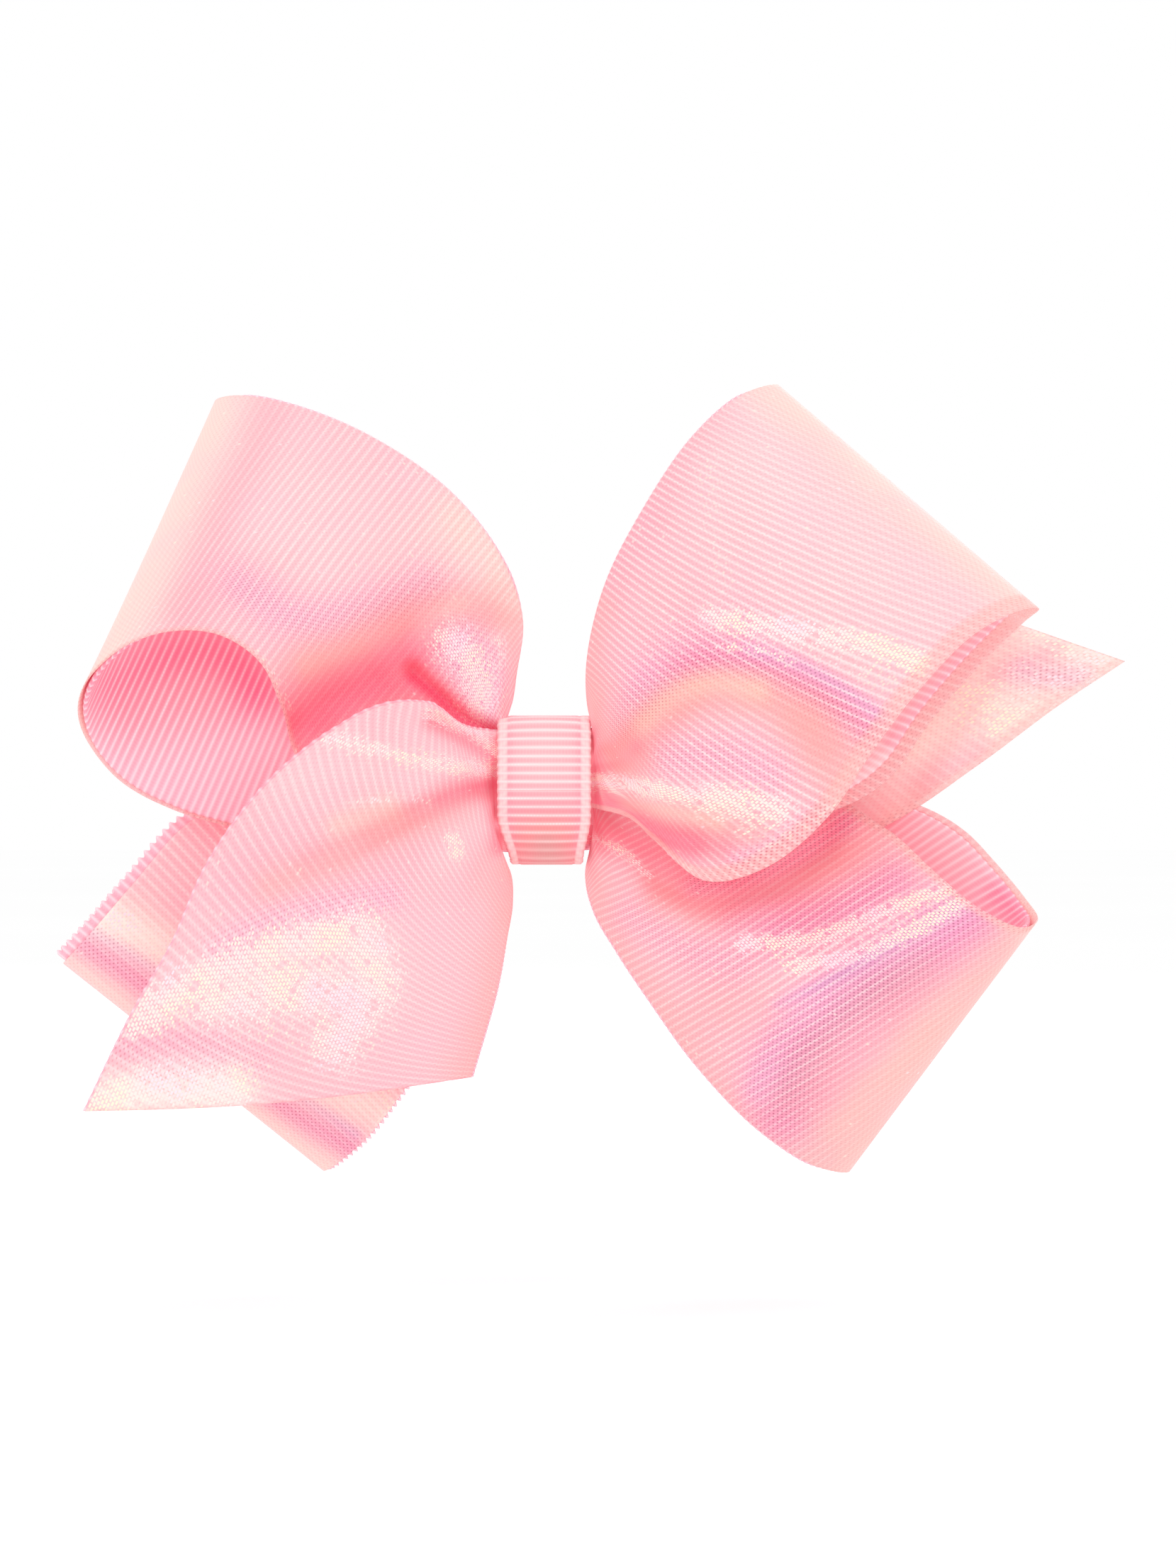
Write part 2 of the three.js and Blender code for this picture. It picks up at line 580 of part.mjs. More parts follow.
// ---- hair clip ----------------------------------------------------------------------------------------------
// A flat strip seen from the back, drawn in (X, Z), with a round tip at +X, extruded through Y from y0 to y1.
function strip(x0, x1, halfZ, y0, y1) {
  const shape = new THREE.Shape();
  shape.moveTo(x0, -halfZ);
  shape.lineTo(x1 - halfZ, -halfZ);
  shape.absarc(x1 - halfZ, 0, halfZ, -Math.PI / 2, Math.PI / 2);
  shape.lineTo(x0, halfZ);
  shape.closePath();
  const options = { depth: y1 - y0, bevelEnabled: false, curveSegments: ARC_STEPS };
  const geometry = new THREE.ExtrudeGeometry(shape, options);
  geometry.rotateX(Math.PI / 2);
  geometry.translate(0, y1, 0);
  return geometry;
}

// A side profile drawn in (X, Y), extruded along Z from z0 to z1.
function alongZ(shape, z0, z1) {
  const options = { depth: z1 - z0, bevelEnabled: false, curveSegments: ARC_STEPS };
  const geometry = new THREE.ExtrudeGeometry(shape, options);
  geometry.translate(0, 0, z0);
  return geometry;
}

const pinRadius = PIN_DIAMETER / 2;
const frontEarOuter = CLIP_WIDTH / 2;
const frontEarInner = frontEarOuter - SHEET_STEEL;
const rearEarOuter = frontEarInner - CLEARANCE;
const rearEarInner = rearEarOuter - SHEET_STEEL;
const hingeTop = HINGE_Y + pinRadius + CLEARANCE + SHEET_STEEL;

function pinHole() {
  const hole = new THREE.Path();
  hole.absarc(HINGE_X, HINGE_Y, pinRadius + CLEARANCE, 0, 2 * Math.PI, true);
  return hole;
}

function frontJaw() {
  const plate = solid(strip(JAW_REAR_X, JAW_FRONT_X, CLIP_WIDTH / 2, frontJawFront, frontJawBack));
  const ear = new THREE.Shape();
  ear.moveTo(HINGE_X - EAR_LENGTH / 2, frontJawFront);
  ear.lineTo(HINGE_X + EAR_LENGTH / 2, frontJawFront);
  ear.lineTo(HINGE_X + EAR_LENGTH * EAR_SHARE, hingeTop);
  ear.lineTo(HINGE_X - EAR_LENGTH * EAR_SHARE, hingeTop);
  ear.closePath();
  ear.holes.push(pinHole());
  const upper = solid(alongZ(ear, frontEarInner, frontEarOuter));
  const lower = solid(alongZ(ear, -frontEarOuter, -frontEarInner));
  return geometryOf(plate.add(upper).add(lower));
}
add("clip_front_jaw", frontJaw(), steel());

// The lining covers the front jaw's inner face, from the ears to the tip.
const liningStart = HINGE_X + EAR_LENGTH / 2 + 1;
const liningEnd = JAW_FRONT_X - LINING_TIP_MARGIN;
const liningHalf = CLIP_WIDTH / 2 - LINING_MARGIN;
const lining = strip(liningStart, liningEnd, liningHalf, liningBack - LINING_THICKNESS, liningBack);
add("clip_lining", lining, material(0xf7a1b5, 0.75));

// Rear jaw: a folded strip. Its bridge goes over the hinge, its lever stands off for the finger, and its cheeks
// carry the pin and end in teeth along the mouth.
const springOuter = pinRadius + CLEARANCE + SPRING_WIRE;
const bridgeInner = HINGE_Y + springOuter + CLEARANCE;
const tipX = JAW_FRONT_X - 1;
const tipInner = liningBack + CLEARANCE;

function rearJaw() {
  const leverEndX = JAW_REAR_X;
  const profile = new THREE.Shape();
  profile.moveTo(leverEndX, LEVER_RISE - SHEET_STEEL);
  profile.lineTo(HINGE_X - BRIDGE_BACK, bridgeInner);
  profile.lineTo(HINGE_X + BRIDGE_FRONT, bridgeInner);
  profile.lineTo(JAW_STRAIGHT_X, rearJawInner);
  profile.lineTo(JAW_TIP_BEND_X, rearJawInner);
  profile.lineTo(tipX, tipInner);
  profile.lineTo(tipX, tipInner + SHEET_STEEL);
  profile.lineTo(JAW_TIP_BEND_X, rearJawOuter);
  profile.lineTo(JAW_STRAIGHT_X + JOIN, rearJawOuter);
  profile.lineTo(HINGE_X + BRIDGE_FRONT + BEND_EASE, bridgeInner + SHEET_STEEL);
  profile.lineTo(HINGE_X - BRIDGE_BACK, bridgeInner + SHEET_STEEL);
  profile.lineTo(leverEndX, LEVER_RISE);
  profile.closePath();

  const cheek = new THREE.Shape();
  cheek.moveTo(HINGE_X - CHEEK_BACK, bridgeInner + JOIN);
  cheek.lineTo(HINGE_X - CHEEK_WAIST, HINGE_Y - CHEEK_RISE);
  cheek.lineTo(HINGE_X, HINGE_Y - pinRadius - CLEARANCE - SHEET_STEEL);
  cheek.lineTo(HINGE_X + CHEEK_BACK, HINGE_Y - CHEEK_RISE);
  cheek.lineTo(JAW_STRAIGHT_X, rearJawInner + 2 * COMB_JOIN);
  cheek.lineTo(JAW_STRAIGHT_X, rearJawOuter - COMB_JOIN);
  cheek.lineTo(HINGE_X + CHEEK_WAIST, bridgeInner + JOIN);
  cheek.closePath();
  cheek.holes.push(pinHole());

  const teethStart = ribbonStart + COMB_MARGIN;
  const count = Math.floor((JAW_TIP_BEND_X - teethStart) / TOOTH_PITCH);
  const comb = new THREE.Shape();
  comb.moveTo(teethStart, rearJawOuter - COMB_JOIN);
  comb.lineTo(teethStart, rearJawInner);
  for (let k = 0; k < count; k++) {
    const x = teethStart + k * TOOTH_PITCH;
    comb.lineTo(x + TOOTH_PITCH / 2, rearJawInner - TOOTH_DEPTH);
    comb.lineTo(x + TOOTH_PITCH, rearJawInner);
  }
  comb.lineTo(teethStart + count * TOOTH_PITCH, rearJawOuter - COMB_JOIN);
  comb.closePath();

  let jaw = solid(alongZ(profile, -rearEarOuter, rearEarOuter));
  for (const [z0, z1] of [[rearEarInner, rearEarOuter], [-rearEarOuter, -rearEarInner]]) {
    jaw = jaw.add(solid(alongZ(cheek, z0, z1))).add(solid(alongZ(comb, z0, z1)));
  }
  return geometryOf(jaw);
}
add("clip_rear_jaw", rearJaw(), steel());

// The pin runs through both pairs of ears and has a head on each end.
function pivotPin() {
  const headRadius = pinRadius + CLEARANCE + PIN_HEAD_RIM;
  const headInner = frontEarOuter + CLEARANCE;
  const headOuter = headInner + PIN_HEAD_THICKNESS;
  const profile = [
    [0, -headOuter], [headRadius, -headOuter], [headRadius, -headInner], [pinRadius, -headInner],
    [pinRadius, headInner], [headRadius, headInner], [headRadius, headOuter], [0, headOuter],
  ].map(([r, z]) => new THREE.Vector2(r, z));
  const geometry = new THREE.LatheGeometry(profile, PIN_SIDES);
  geometry.rotateX(Math.PI / 2);
  return geometry;
}
const pin = add("clip_pivot_pin", pivotPin(), steel());
pin.position.set(HINGE_X, HINGE_Y, 0);

// Torsion spring: coils round the pin, one leg on the front jaw and one leg under the rear jaw's bridge.
class SpringPath extends THREE.Curve {
  getPoint(t, target = new THREE.Vector3()) {
    const radius = pinRadius + CLEARANCE + SPRING_WIRE / 2;
    const pitch = SPRING_WIRE + CLEARANCE / 2;
    const start = -Math.PI / 2;
    const sweep = 2 * Math.PI * SPRING_TURNS + Math.PI;
    const legShare = SPRING_LEG_SHARE;
    const bodyT = clamp((t - legShare) / (1 - 2 * legShare), 0, 1);
    const angle = start + sweep * bodyT;
    const z = (bodyT - 0.5) * SPRING_TURNS * pitch;
    target.set(radius * Math.cos(angle), radius * Math.sin(angle), z);
    const past = t < legShare ? t - legShare : Math.max(0, t - 1 + legShare);
    const reach = (past / legShare) * SPRING_LEG;
    target.x += -Math.sin(angle) * reach;
    target.y += Math.cos(angle) * reach;
    return target;
  }
}
const springGeometry = new THREE.ExtrudeGeometry(circle(SPRING_WIRE / 2, WIRE_SIDES), {
  steps: SPRING_STEPS,
  extrudePath: new SpringPath(),
  bevelEnabled: false,
});
const spring = add("clip_spring", springGeometry, material(0xb4b8be, 0.25, 1));
spring.position.set(HINGE_X, HINGE_Y, 0);

export default bow;
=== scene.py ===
"""Looks of a twisted hair bow: grosgrain under a sheer pearly ribbon, bound, wrapped and set on a clip.

Lengths in the tables below are millimetres, and the meshes are in metres. X is to the right seen from
the front, Z is up, and the bow faces -Y. Points given as (x, z) are measured from the middle of the wrap.
"""
import math

import bpy
import numpy as np
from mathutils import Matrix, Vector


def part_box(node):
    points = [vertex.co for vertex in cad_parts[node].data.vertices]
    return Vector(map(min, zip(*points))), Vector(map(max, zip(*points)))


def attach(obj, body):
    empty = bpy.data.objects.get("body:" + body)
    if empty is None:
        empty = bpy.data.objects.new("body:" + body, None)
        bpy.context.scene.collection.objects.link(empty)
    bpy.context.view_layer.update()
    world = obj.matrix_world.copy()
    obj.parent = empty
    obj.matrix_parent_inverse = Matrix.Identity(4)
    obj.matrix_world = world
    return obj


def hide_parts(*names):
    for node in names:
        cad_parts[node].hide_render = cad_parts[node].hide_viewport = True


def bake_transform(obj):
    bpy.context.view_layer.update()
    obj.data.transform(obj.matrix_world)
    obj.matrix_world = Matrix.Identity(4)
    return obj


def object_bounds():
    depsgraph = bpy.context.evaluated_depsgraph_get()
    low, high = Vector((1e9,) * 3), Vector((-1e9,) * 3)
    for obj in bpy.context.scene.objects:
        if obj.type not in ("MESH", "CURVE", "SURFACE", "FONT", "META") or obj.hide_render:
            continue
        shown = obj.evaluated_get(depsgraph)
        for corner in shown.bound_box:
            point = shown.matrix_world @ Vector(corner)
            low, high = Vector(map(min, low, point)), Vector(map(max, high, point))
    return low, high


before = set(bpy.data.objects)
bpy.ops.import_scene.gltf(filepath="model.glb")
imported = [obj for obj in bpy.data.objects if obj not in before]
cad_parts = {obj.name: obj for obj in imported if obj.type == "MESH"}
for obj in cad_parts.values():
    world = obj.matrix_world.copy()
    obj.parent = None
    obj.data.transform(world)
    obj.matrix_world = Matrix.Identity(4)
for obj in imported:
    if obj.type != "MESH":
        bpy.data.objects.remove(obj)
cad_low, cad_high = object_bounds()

bl_info = {
    "name": "Hair bow",
    "version": (1, 0, 0),
    "blender": (4, 5, 0),
    "location": "View3D > Sidebar > Hair bow",
    "description": "Builds the ribbons, the wrap and the finishes of a twisted hair bow",
    "category": "Object",
}

MM = 0.001
TAU = 2 * math.pi

# ---- colours -------------------------------------------------------------------------------------
# Colours laid on by the strokes below. baby and grosgrain are the ribbons' own pinks, and rose is also the
# base of the gathered middle. In the strokes, pale is painted light on faces turned to the light, and cream
# the painted highlight where the film glitters; rose, salmon, peach, coral, deep, hot and taupe are painted
# shade, soft in rose and deepest in deep and hot, in creases, hollows, under overlaps and at the foot of the
# wrap; beige is a painted sheen where the film turns at the folds, and also the colour of the clear film
# past the grosgrain; lilac, magenta and violet are the film's iridescent sheen, painted fixed as seen from
# the front.
PALETTE = {
    "baby": "#fbc1c7",
    "pale": "#fcd1d2",
    "rose": "#fba9b6",
    "salmon": "#fbaba6",
    "coral": "#fb7f90",
    "deep": "#f4577c",
    "hot": "#f9649a",
    "peach": "#fccdb8",
    "beige": "#f9d8cd",
    "cream": "#fdf6e6",
    "lilac": "#f2b3d0",
    "magenta": "#f48fb8",
    "violet": "#cda3d3",
    "taupe": "#d7a8a2",
    "grosgrain": "#fdcfda",
}


def linear(hex_colour):
    """An sRGB colour written #rrggbb, as linear red, green, blue and an alpha of 1."""
    parts = [int(hex_colour[i:i + 2], 16) / 255 for i in (1, 3, 5)]
    return tuple(c / 12.92 if c <= 0.04045 else ((c + 0.055) / 1.055) ** 2.4 for c in parts) + (1.0,)


# A faint pink glow (emission) painted into every cloth finish: it stands in for light coming through and
# bouncing inside the thin cloth, and keeps the shaded folds warm.
THROUGH_LIGHT_GLOW = {"Emission Color": linear("#ff5f7c"), "Emission Strength": 0.11}


# ---- the ribbon runs -----------------------------------------------------------------------------
# A run is ruled between two edge curves, "a" and "b". Their points are [x, y, z]: x from the side of the
# wrap, y from the station of the run's pass through the middle, and z from the middle of the wrap.
# "passes": depths of the front and back pass behind the wrap's front face.
# "folds": the points, one on each edge, where a loop turns back.
# "crown": how far the front layer puffs out, over the share "span" of the width from edge a.
# "lead": how far the sheer ribbon stands past the grosgrain along edge b.
# "length": the nominal length that the rows of the mesh are spread over.
# "tilt": slant of the ribs, in mm along the ribbon for each mm across it.
# "sag": how far the middle of the free end hangs.
# "picot": height of the rib ends at the grosgrain's edges, where it isn't the usual PICOT.
# "ribs": how strongly the grosgrain's ribs show through the film, 1 if it isn't given.
# "creases": (depth, width, line), pressed back (+) or raised (-) on the front layer.
# "strokes": (colour, width, strength, line), colour laid on the film's front layer in order: mostly painted
# shade in creases, hollows and under overlaps, painted light on lit faces, and painted iridescent sheen.
# "inside": the same, on the grosgrain: painted shade deep in the loops, and painted light.
# The lists of painted glints, (width, strength, line): painted highlights where the film glitters. Line
# points are (x, z).
RUNS = {
    "front_tail": {
        "side": -1, "passes": (1.3, 1.3), "lead": 0, "length": 46, "tilt": -0.34, "sag": 0.9,
        "ribs": 0.55,
        "a": [
            [0, 0, 6], [-3.15, -2.4, 6.6], [-6.45, -4.4, 8.8], [-9.85, -5.8, 9], [-13.45, -6.8, 7.9],
            [-18.55, -7.6, 4.7], [-23.65, -8.1, 0.2], [-29.15, -8.1, -7.3], [-33.05, -7.6, -15.9],
            [-37.15, -7.1, -23], [-42.05, -6.6, -33],
        ],
        "b": [
            [0, 0, -6.2], [1.5, -0.6, -8.4], [1.8, -1.8, -11.6], [1.25, -3.2, -15.1], [0.15, -4.6, -20.6],
            [-2.45, -5.6, -29.5],
        ],
        "creases": [
            (1.0, 0.9, [(-11, 7.2), (-8, 5.2), (-4.9, 3.3)]),
            (-1.1, 1.4, [(-19, 4.6), (-15, 3.7), (-10, 2.6), (-4.9, 2.1)]),
            (2.1, 1.3, [(-4.9, 0.6), (-9, -0.4), (-13, -2.2), (-18, -4.8), (-24, -7.4)]),
            (-0.7, 1.1, [(-19.5, -1.3), (-16, -1.0), (-12, -0.7)]),
            (-0.9, 2.2, [(-5, -3.4), (-9.2, -5.4), (-12, -9.5)]),
            (0.5, 1.3, [(-4.6, -5.4), (-6.5, -9), (-7.5, -14)]),
        ],
        "strokes": [
            ("rose", 4.5, 0.5, [(-30, -9), (-22, -7.5), (-12, -5), (-6, -2)]),
            ("pale", 3.0, 0.5, [(-26, 1), (-20, 2.8), (-12, 2.2)]),
            ("coral", 1.3, 0.45, [(-4.9, 0.6), (-9, -0.4), (-13, -2.2), (-18, -4.8)]),
            ("deep", 0.6, 0.4, [(-4.9, 0.7), (-8, 0), (-11, -1.2)]),
            ("salmon", 2.0, 0.6, [(-9, -2.4), (-15, -4.2), (-21, -7), (-28, -10)]),
            ("coral", 1.1, 0.75, [(-11.5, 7.0), (-8, 5.2), (-4.9, 3.3)]),
            ("salmon", 3.2, 0.75, [(-3.6, -9), (-3.4, -15), (-4.8, -21), (-7, -29)]),
            ("peach", 1.6, 0.5, [(-16, -1.9), (-21, -3.6)]),
            ("pale", 2.4, 0.5, [(-7, -4), (-10, -7)]),
            ("pale", 5.5, 0.6, [(-36, -22), (-27, -18), (-19, -18)]),
            ("lilac", 1.8, 0.45, [(-33, -16.2), (-28, -13.5), (-22, -12), (-16, -11)]),
            ("magenta", 2.4, 0.4, [(-43, -26.5), (-37, -26), (-30, -28)]),
            ("lilac", 2.0, 0.35, [(-40, -29), (-33, -28)]),
            ("cream", 3.6, 0.6, [(-43, -31.6), (-32, -30.4)]),
            ("coral", 0.9, 0.7, [(-4.8, 5), (-5, 0), (-4.8, -6)]),
        ],
        "painted_glint": [
            (1.4, 0.8, [(-23, 5.6), (-18.5, 4.4), (-14, 3.3), (-9, 2.5), (-5, 2.1)]),
            (1.1, 0.85, [(-11.8, 7.8), (-7.4, 6.0), (-4.9, 4.0)]),
            (0.9, 0.6, [(-19.5, -1.2), (-16, -1.0), (-12, -0.9)]),
            (1.3, 0.8, [(-9.4, -5.0), (-9.0, -6.6)]),
            (3.2, 1.0, [(-42, -23.5), (-34, -18.8), (-26, -15.8), (-19, -14.3)]),
            (3.8, 0.95, [(-18.5, -15.5), (-17.5, -20), (-21.5, -26)]),
            (4.2, 0.95, [(-34, -21.5), (-27, -20.5), (-21, -21)]),
            (3.0, 1.0, [(-46, -32), (-40, -30.4), (-32, -30.6)]),
            (1.8, 0.5, [(-31, -24.8), (-25, -25.5), (-19, -28.5)]),
        ],
    },
    "upper_left_loop": {
        "side": -1, "passes": (3.2, 4.9), "folds": (9, 10), "crown": 7, "span": 1, "lead": 0.6,
        "ribs": 0.75, "length": 105,
        "a": [
            [0, 0, 6.2], [1.5, -0.1, 8.4], [2.2, -0.4, 12.2], [2.8, -0.9, 17.6], [0.5, -1.7, 24.2],
            [-4.9, -2.9, 31], [-13.3, -4.4, 36.7], [-21.6, -6.5, 39.8], [-26.45, -6.5, 40.6],
            [-28.95, -3.4, 40.1], [-25.45, -0.8, 38.6], [-18.95, -0.6, 34], [-10.95, -0.5, 24],
            [-4.45, -0.3, 13.5], [0, 0, 6],
        ],
        "b": [
            [0, 0, -6], [-4.95, -0.8, -4.5], [-12.95, -1.8, -1.5], [-20.35, -3.4, 3.2], [-22.05, -5.4, 8.6],
            [-24.15, -7.4, 13.2], [-28.35, -8.4, 16], [-33.45, -8.7, 16.3], [-38.15, -7.9, 14.7],
            [-41.95, -5.7, 11.4], [-43.15, -3.4, 8.2], [-42.35, -2.1, 5.2], [-38.95, -1.1, 1],
            [-33.45, -0.8, -2], [-27.15, -0.8, -3.8], [-16.95, -0.7, -5], [-6.95, -0.7, -5.8], [0, 0, -6.2],
        ],
        "creases": [
            (3.2, 3.2, [(-26, 6.5), (-21.5, 10.2), (-16, 12.8), (-11.5, 17.2), (-3, 18.6)]),
            (-2.6, 3.4, [(-8.6, 15), (-6.4, 12), (-5.6, 9)]),
            (2.2, 0.9, [(-13.6, 12.4), (-11.2, 10.2), (-8.6, 7.7), (-5, 5.9)]),
        ],
        "strokes": [
            ("pale", 9, 0.7, [(-26, 30), (-16, 26), (-9, 24)]),
            ("rose", 3.2, 0.75, [(-29.5, 38.5), (-34, 28), (-37.4, 18.5)]),
            ("beige", 4.2, 1.0, [(-33.6, 40), (-38, 30.5), (-43, 20), (-47.6, 9)]),
            ("beige", 2.6, 0.8, [(-40.5, 26), (-44, 17)]),
            ("lilac", 2.4, 0.6, [(-31, 21), (-25, 17.6), (-18, 18.6), (-12, 21)]),
            ("beige", 3.6, 0.95, [(-8.5, 27.5), (-5.2, 23.5), (-4, 19.6)]),
            ("salmon", 2.6, 0.7, [(-25, 12.9), (-20, 14.9), (-15, 17.2), (-10, 19), (-6, 18.4)]),
            ("peach", 1.6, 0.6, [(-24, 12.4), (-19, 14.2), (-14, 16.6), (-9, 18.6)]),
            ("coral", 3.6, 1.0, [(-26.5, 6), (-22, 9.4), (-16.5, 12.2), (-13, 14.4)]),
            ("deep", 2.0, 0.5, [(-24, 6.4), (-19, 9.6), (-15, 11.2)]),
            ("salmon", 1.4, 0.6, [(-12, 16.2), (-7, 17.9), (-3, 17.6)]),
            ("lilac", 3.2, 0.75, [(-8.6, 14.8), (-6.4, 11.6), (-5.4, 9.2)]),
            ("salmon", 1.3, 0.6, [(-3.0, 15.5), (-3.0, 11), (-4.2, 8.4)]),
            ("coral", 1.5, 0.8, [(-15, 12.2), (-12, 10), (-9, 7.8)]),
            ("deep", 0.8, 0.9, [(-13.6, 11.6), (-11.2, 9.8), (-8.6, 7.5), (-5, 5.8)]),
        ],
        "painted_glint": [
            (3.0, 0.95, [(-9.4, 15.4), (-7.6, 12.6), (-6.6, 9.6)]),
            (1.4, 0.6, [(-4.9, 15.4), (-4.6, 13)]),
            (0.9, 0.55, [(-29.6, 14.2), (-27.4, 11), (-26.6, 8.6)]),
            (1.2, 0.35, [(-9.5, 19.9), (-5.5, 20.2), (-3, 19.8)]),
            (5.0, 0.22, [(-27, 19), (-17, 24), (-11, 26)]),
        ],
        "inside": [
            ("hot", 3.2, 0.85, [(-44, 10.4), (-38.5, 13.2), (-33, 13), (-30.4, 10.4)]),
            ("rose", 5.0, 0.8, [(-43, 8.5), (-36, 10)]),
        ],
    },
    "lower_left_loop": {
        "side": -1, "passes": (6.2, 7.7), "folds": (7, 7), "crown": 2.5, "span": 0.7, "lead": -1,
        "picot": 0.2, "length": 100,
        "a": [
            [0, 0, -5.6], [-0.25, 0, -8.8], [-0.45, -0.5, -13], [-2.95, -1.2, -19.5], [-6.45, -1.7, -26],
            [-9.75, -2.3, -31.4], [-13.95, -2.7, -36.6], [-17.95, -0.4, -39.6], [-14.45, 2.4, -34.5],
            [-7.95, 2.9, -24], [-2.95, 2.1, -14], [0, 0, -5.8],
        ],
        "b": [
            [0, 0, 5.6], [-8.95, 0.4, 4], [-20.95, 0.5, 2], [-28.95, 0.5, -0.8], [-33.15, 0.3, -3.2],
            [-38.35, -0.7, -9.1], [-42.35, -1.5, -13.8], [-45.75, 0, -17.5], [-42.95, 2.5, -14.6],
            [-37.95, 3.1, -8.8], [-29.95, 1.6, -2.4], [-18.95, 0.8, 2], [-8.95, 0.7, 4.2], [0, 0, 5.2],
        ],
        "creases": [],
        "strokes": [
            ("pale", 5.0, 0.8, [(-40, -8), (-32, -12)]),
            ("beige", 2.6, 1.0, [(-51, -17.6), (-42.6, -24), (-32.2, -32.8), (-22.8, -39.3)]),
            ("magenta", 1.5, 0.7, [(-48.6, -15.4), (-40.4, -20.9), (-27.5, -32.2), (-20.2, -37)]),
            ("violet", 0.7, 0.6, [(-47.2, -14.4), (-39.6, -19.2), (-26.6, -30.6), (-19.6, -35.6)]),
            ("cream", 2.6, 1.0, [(-46, -12.6), (-38.9, -16.9), (-25.5, -29), (-17, -33)]),
        ],
        "painted_glint": [
            (1.8, 0.85, [(-46, -12.6), (-38.9, -16.9)]),
            (1.8, 0.6, [(-22, -31.5), (-15.3, -31.6), (-16.5, -34.5)]),
        ],
    },
    "upper_right_loop": {
        "side": 1, "passes": (1.3, 2.9), "folds": (7, 10), "crown": 6, "span": 1, "lead": 2,
        "tilt": -0.4, "length": 105,
        "a": [
            [0, 0, 6.2], [-0.6, -0.2, 9], [-0.6, -0.6, 13.7], [1.15, -1.2, 21], [4.55, -2.2, 27.9],
            [10.15, -4.1, 36.2], [15.35, -6.2, 40.6], [19.2, -3.5, 41.7], [16.95, -1.6, 39],
            [11.95, -1.8, 31], [6.95, -1.6, 20], [2.45, -0.8, 11], [0, 0, 6],
        ],
        "b": [
            [0, 0, -1.8], [3.75, -2, -2.9], [6.45, -3.2, -5.3], [11.55, -4.8, -9.3], [17.85, -5.6, -7.9],
            [24.15, -6.1, -2.7], [28.65, -6.6, 3.9], [33.05, -7.1, 9.8], [38.95, -7.1, 15.9],
            [43.65, -5.6, 18.4], [46, -3.5, 18.7], [44.55, -2.1, 17.4], [39.65, -1.8, 12.6],
            [34.65, -1.8, 6.8], [30.95, -1.9, 1.6], [26.35, -2, -1.5], [16.95, -2, -3.4], [6.95, -1.3, -3.4],
            [0, 0, -1.6],
        ],
        "creases": [
            (2.2, 2.2, [(4.8, 2.0), (7.8, 3.2), (11, 6.6), (15, 9.6), (20, 10.4), (25, 9), (29, 5.4)]),
            (-1.6, 2.0, [(4.8, 0.9), (11.7, 0.0), (17, -0.9), (23, -1.8)]),
            (1.9, 1.3, [(4.8, -1.1), (8, -2.4), (11.3, -4.3), (15.6, -5.4)]),
            (-1.0, 1.0, [(9, -4.2), (11.6, -6.2), (14.6, -8.2), (18, -8.9)]),
        ],
        "strokes": [
            ("pale", 11, 0.85, [(22, 34), (30, 27), (36, 21)]),
            ("beige", 3.4, 1.0, [(22.5, 42.4), (36, 31.8), (51.5, 18.6)]),
            ("rose", 3.4, 0.6, [(4.6, 9), (4.6, 15), (6.6, 22), (10, 28)]),
            ("salmon", 1.8, 0.55, [(4.5, 12), (5.8, 19)]),
            ("rose", 3.0, 0.45, [(16, 40), (12, 32)]),
            ("lilac", 3.4, 0.45, [(11, 11), (15, 14.4), (20, 15.4)]),
            ("magenta", 1.9, 0.8, [(10.3, 8.6), (14, 12.4), (19, 13.6), (24, 12.2), (29, 9.4), (33, 6.4)]),
            ("violet", 0.9, 0.6, [(21, 14.3), (26, 12.9), (31, 10.2), (34.5, 7.6)]),
            ("lilac", 2.2, 0.7, [(6.2, 5), (9, 8.4), (11, 11)]),
            ("salmon", 2.6, 0.95, [(8.8, 4.2), (11.5, 7.2), (15.5, 9.6), (20, 9.8), (25, 8.2), (29, 4.6)]),
            ("peach", 1.3, 0.7, [(10.2, 7.0), (13.4, 9.9), (17.6, 11.1), (22, 10.4)]),
            ("salmon", 3.0, 0.8, [(27, 6), (30, 3), (31, 0.6)]),
            ("deep", 0.9, 0.85, [(4.8, 2.0), (7.4, 2.9), (9.4, 4.4)]),
            ("lilac", 2.6, 0.5, [(13, 3.4), (18, 3.4), (23, 1.6)]),
            ("salmon", 2.2, 0.75, [(8, -2.6), (12, -2.8), (17, -3.6), (22, -5.2)]),
            ("peach", 1.0, 0.55, [(8.6, -1.7), (13, -2.2), (18, -3.4)]),
            ("deep", 1.4, 0.75, [(5, -1.2), (8, -2.6), (11.4, -4.5), (15.4, -5.6)]),
            ("coral", 1.8, 0.7, [(10, -4), (14, -5.6), (18.5, -6)]),
            ("lilac", 1.2, 0.5, [(20, -7.2), (24, -5.4), (28.5, -2.4)]),
            ("salmon", 3.2, 0.8, [(5, 9), (6, 5), (8, 3.4)]),
            ("coral", 0.9, 0.7, [(4.8, 6), (5, 0), (4.8, -3)]),
        ],
        "painted_glint": [
            (1.7, 1.0, [(17.4, 17.7), (24.5, 16.4), (32.3, 15.2), (38.6, 13.0)]),
            (0.8, 0.7, [(17.8, 14.7), (21.5, 14.3), (25.3, 13.1)]),
            (2.0, 0.5, [(26, 15.4), (32, 12.6), (36.5, 10.4)]),
            (2.2, 0.4, [(17, 34), (17.2, 28), (18.5, 21.5)]),
            (4.5, 0.25, [(20, 24), (28, 19)]),
            (1.2, 1.0, [(5, 0.9), (9, 0.5), (14, -0.4), (19, -1.4)]),
            (2.4, 1.0, [(17, -0.9), (21, -1.5), (24, -1.9)]),
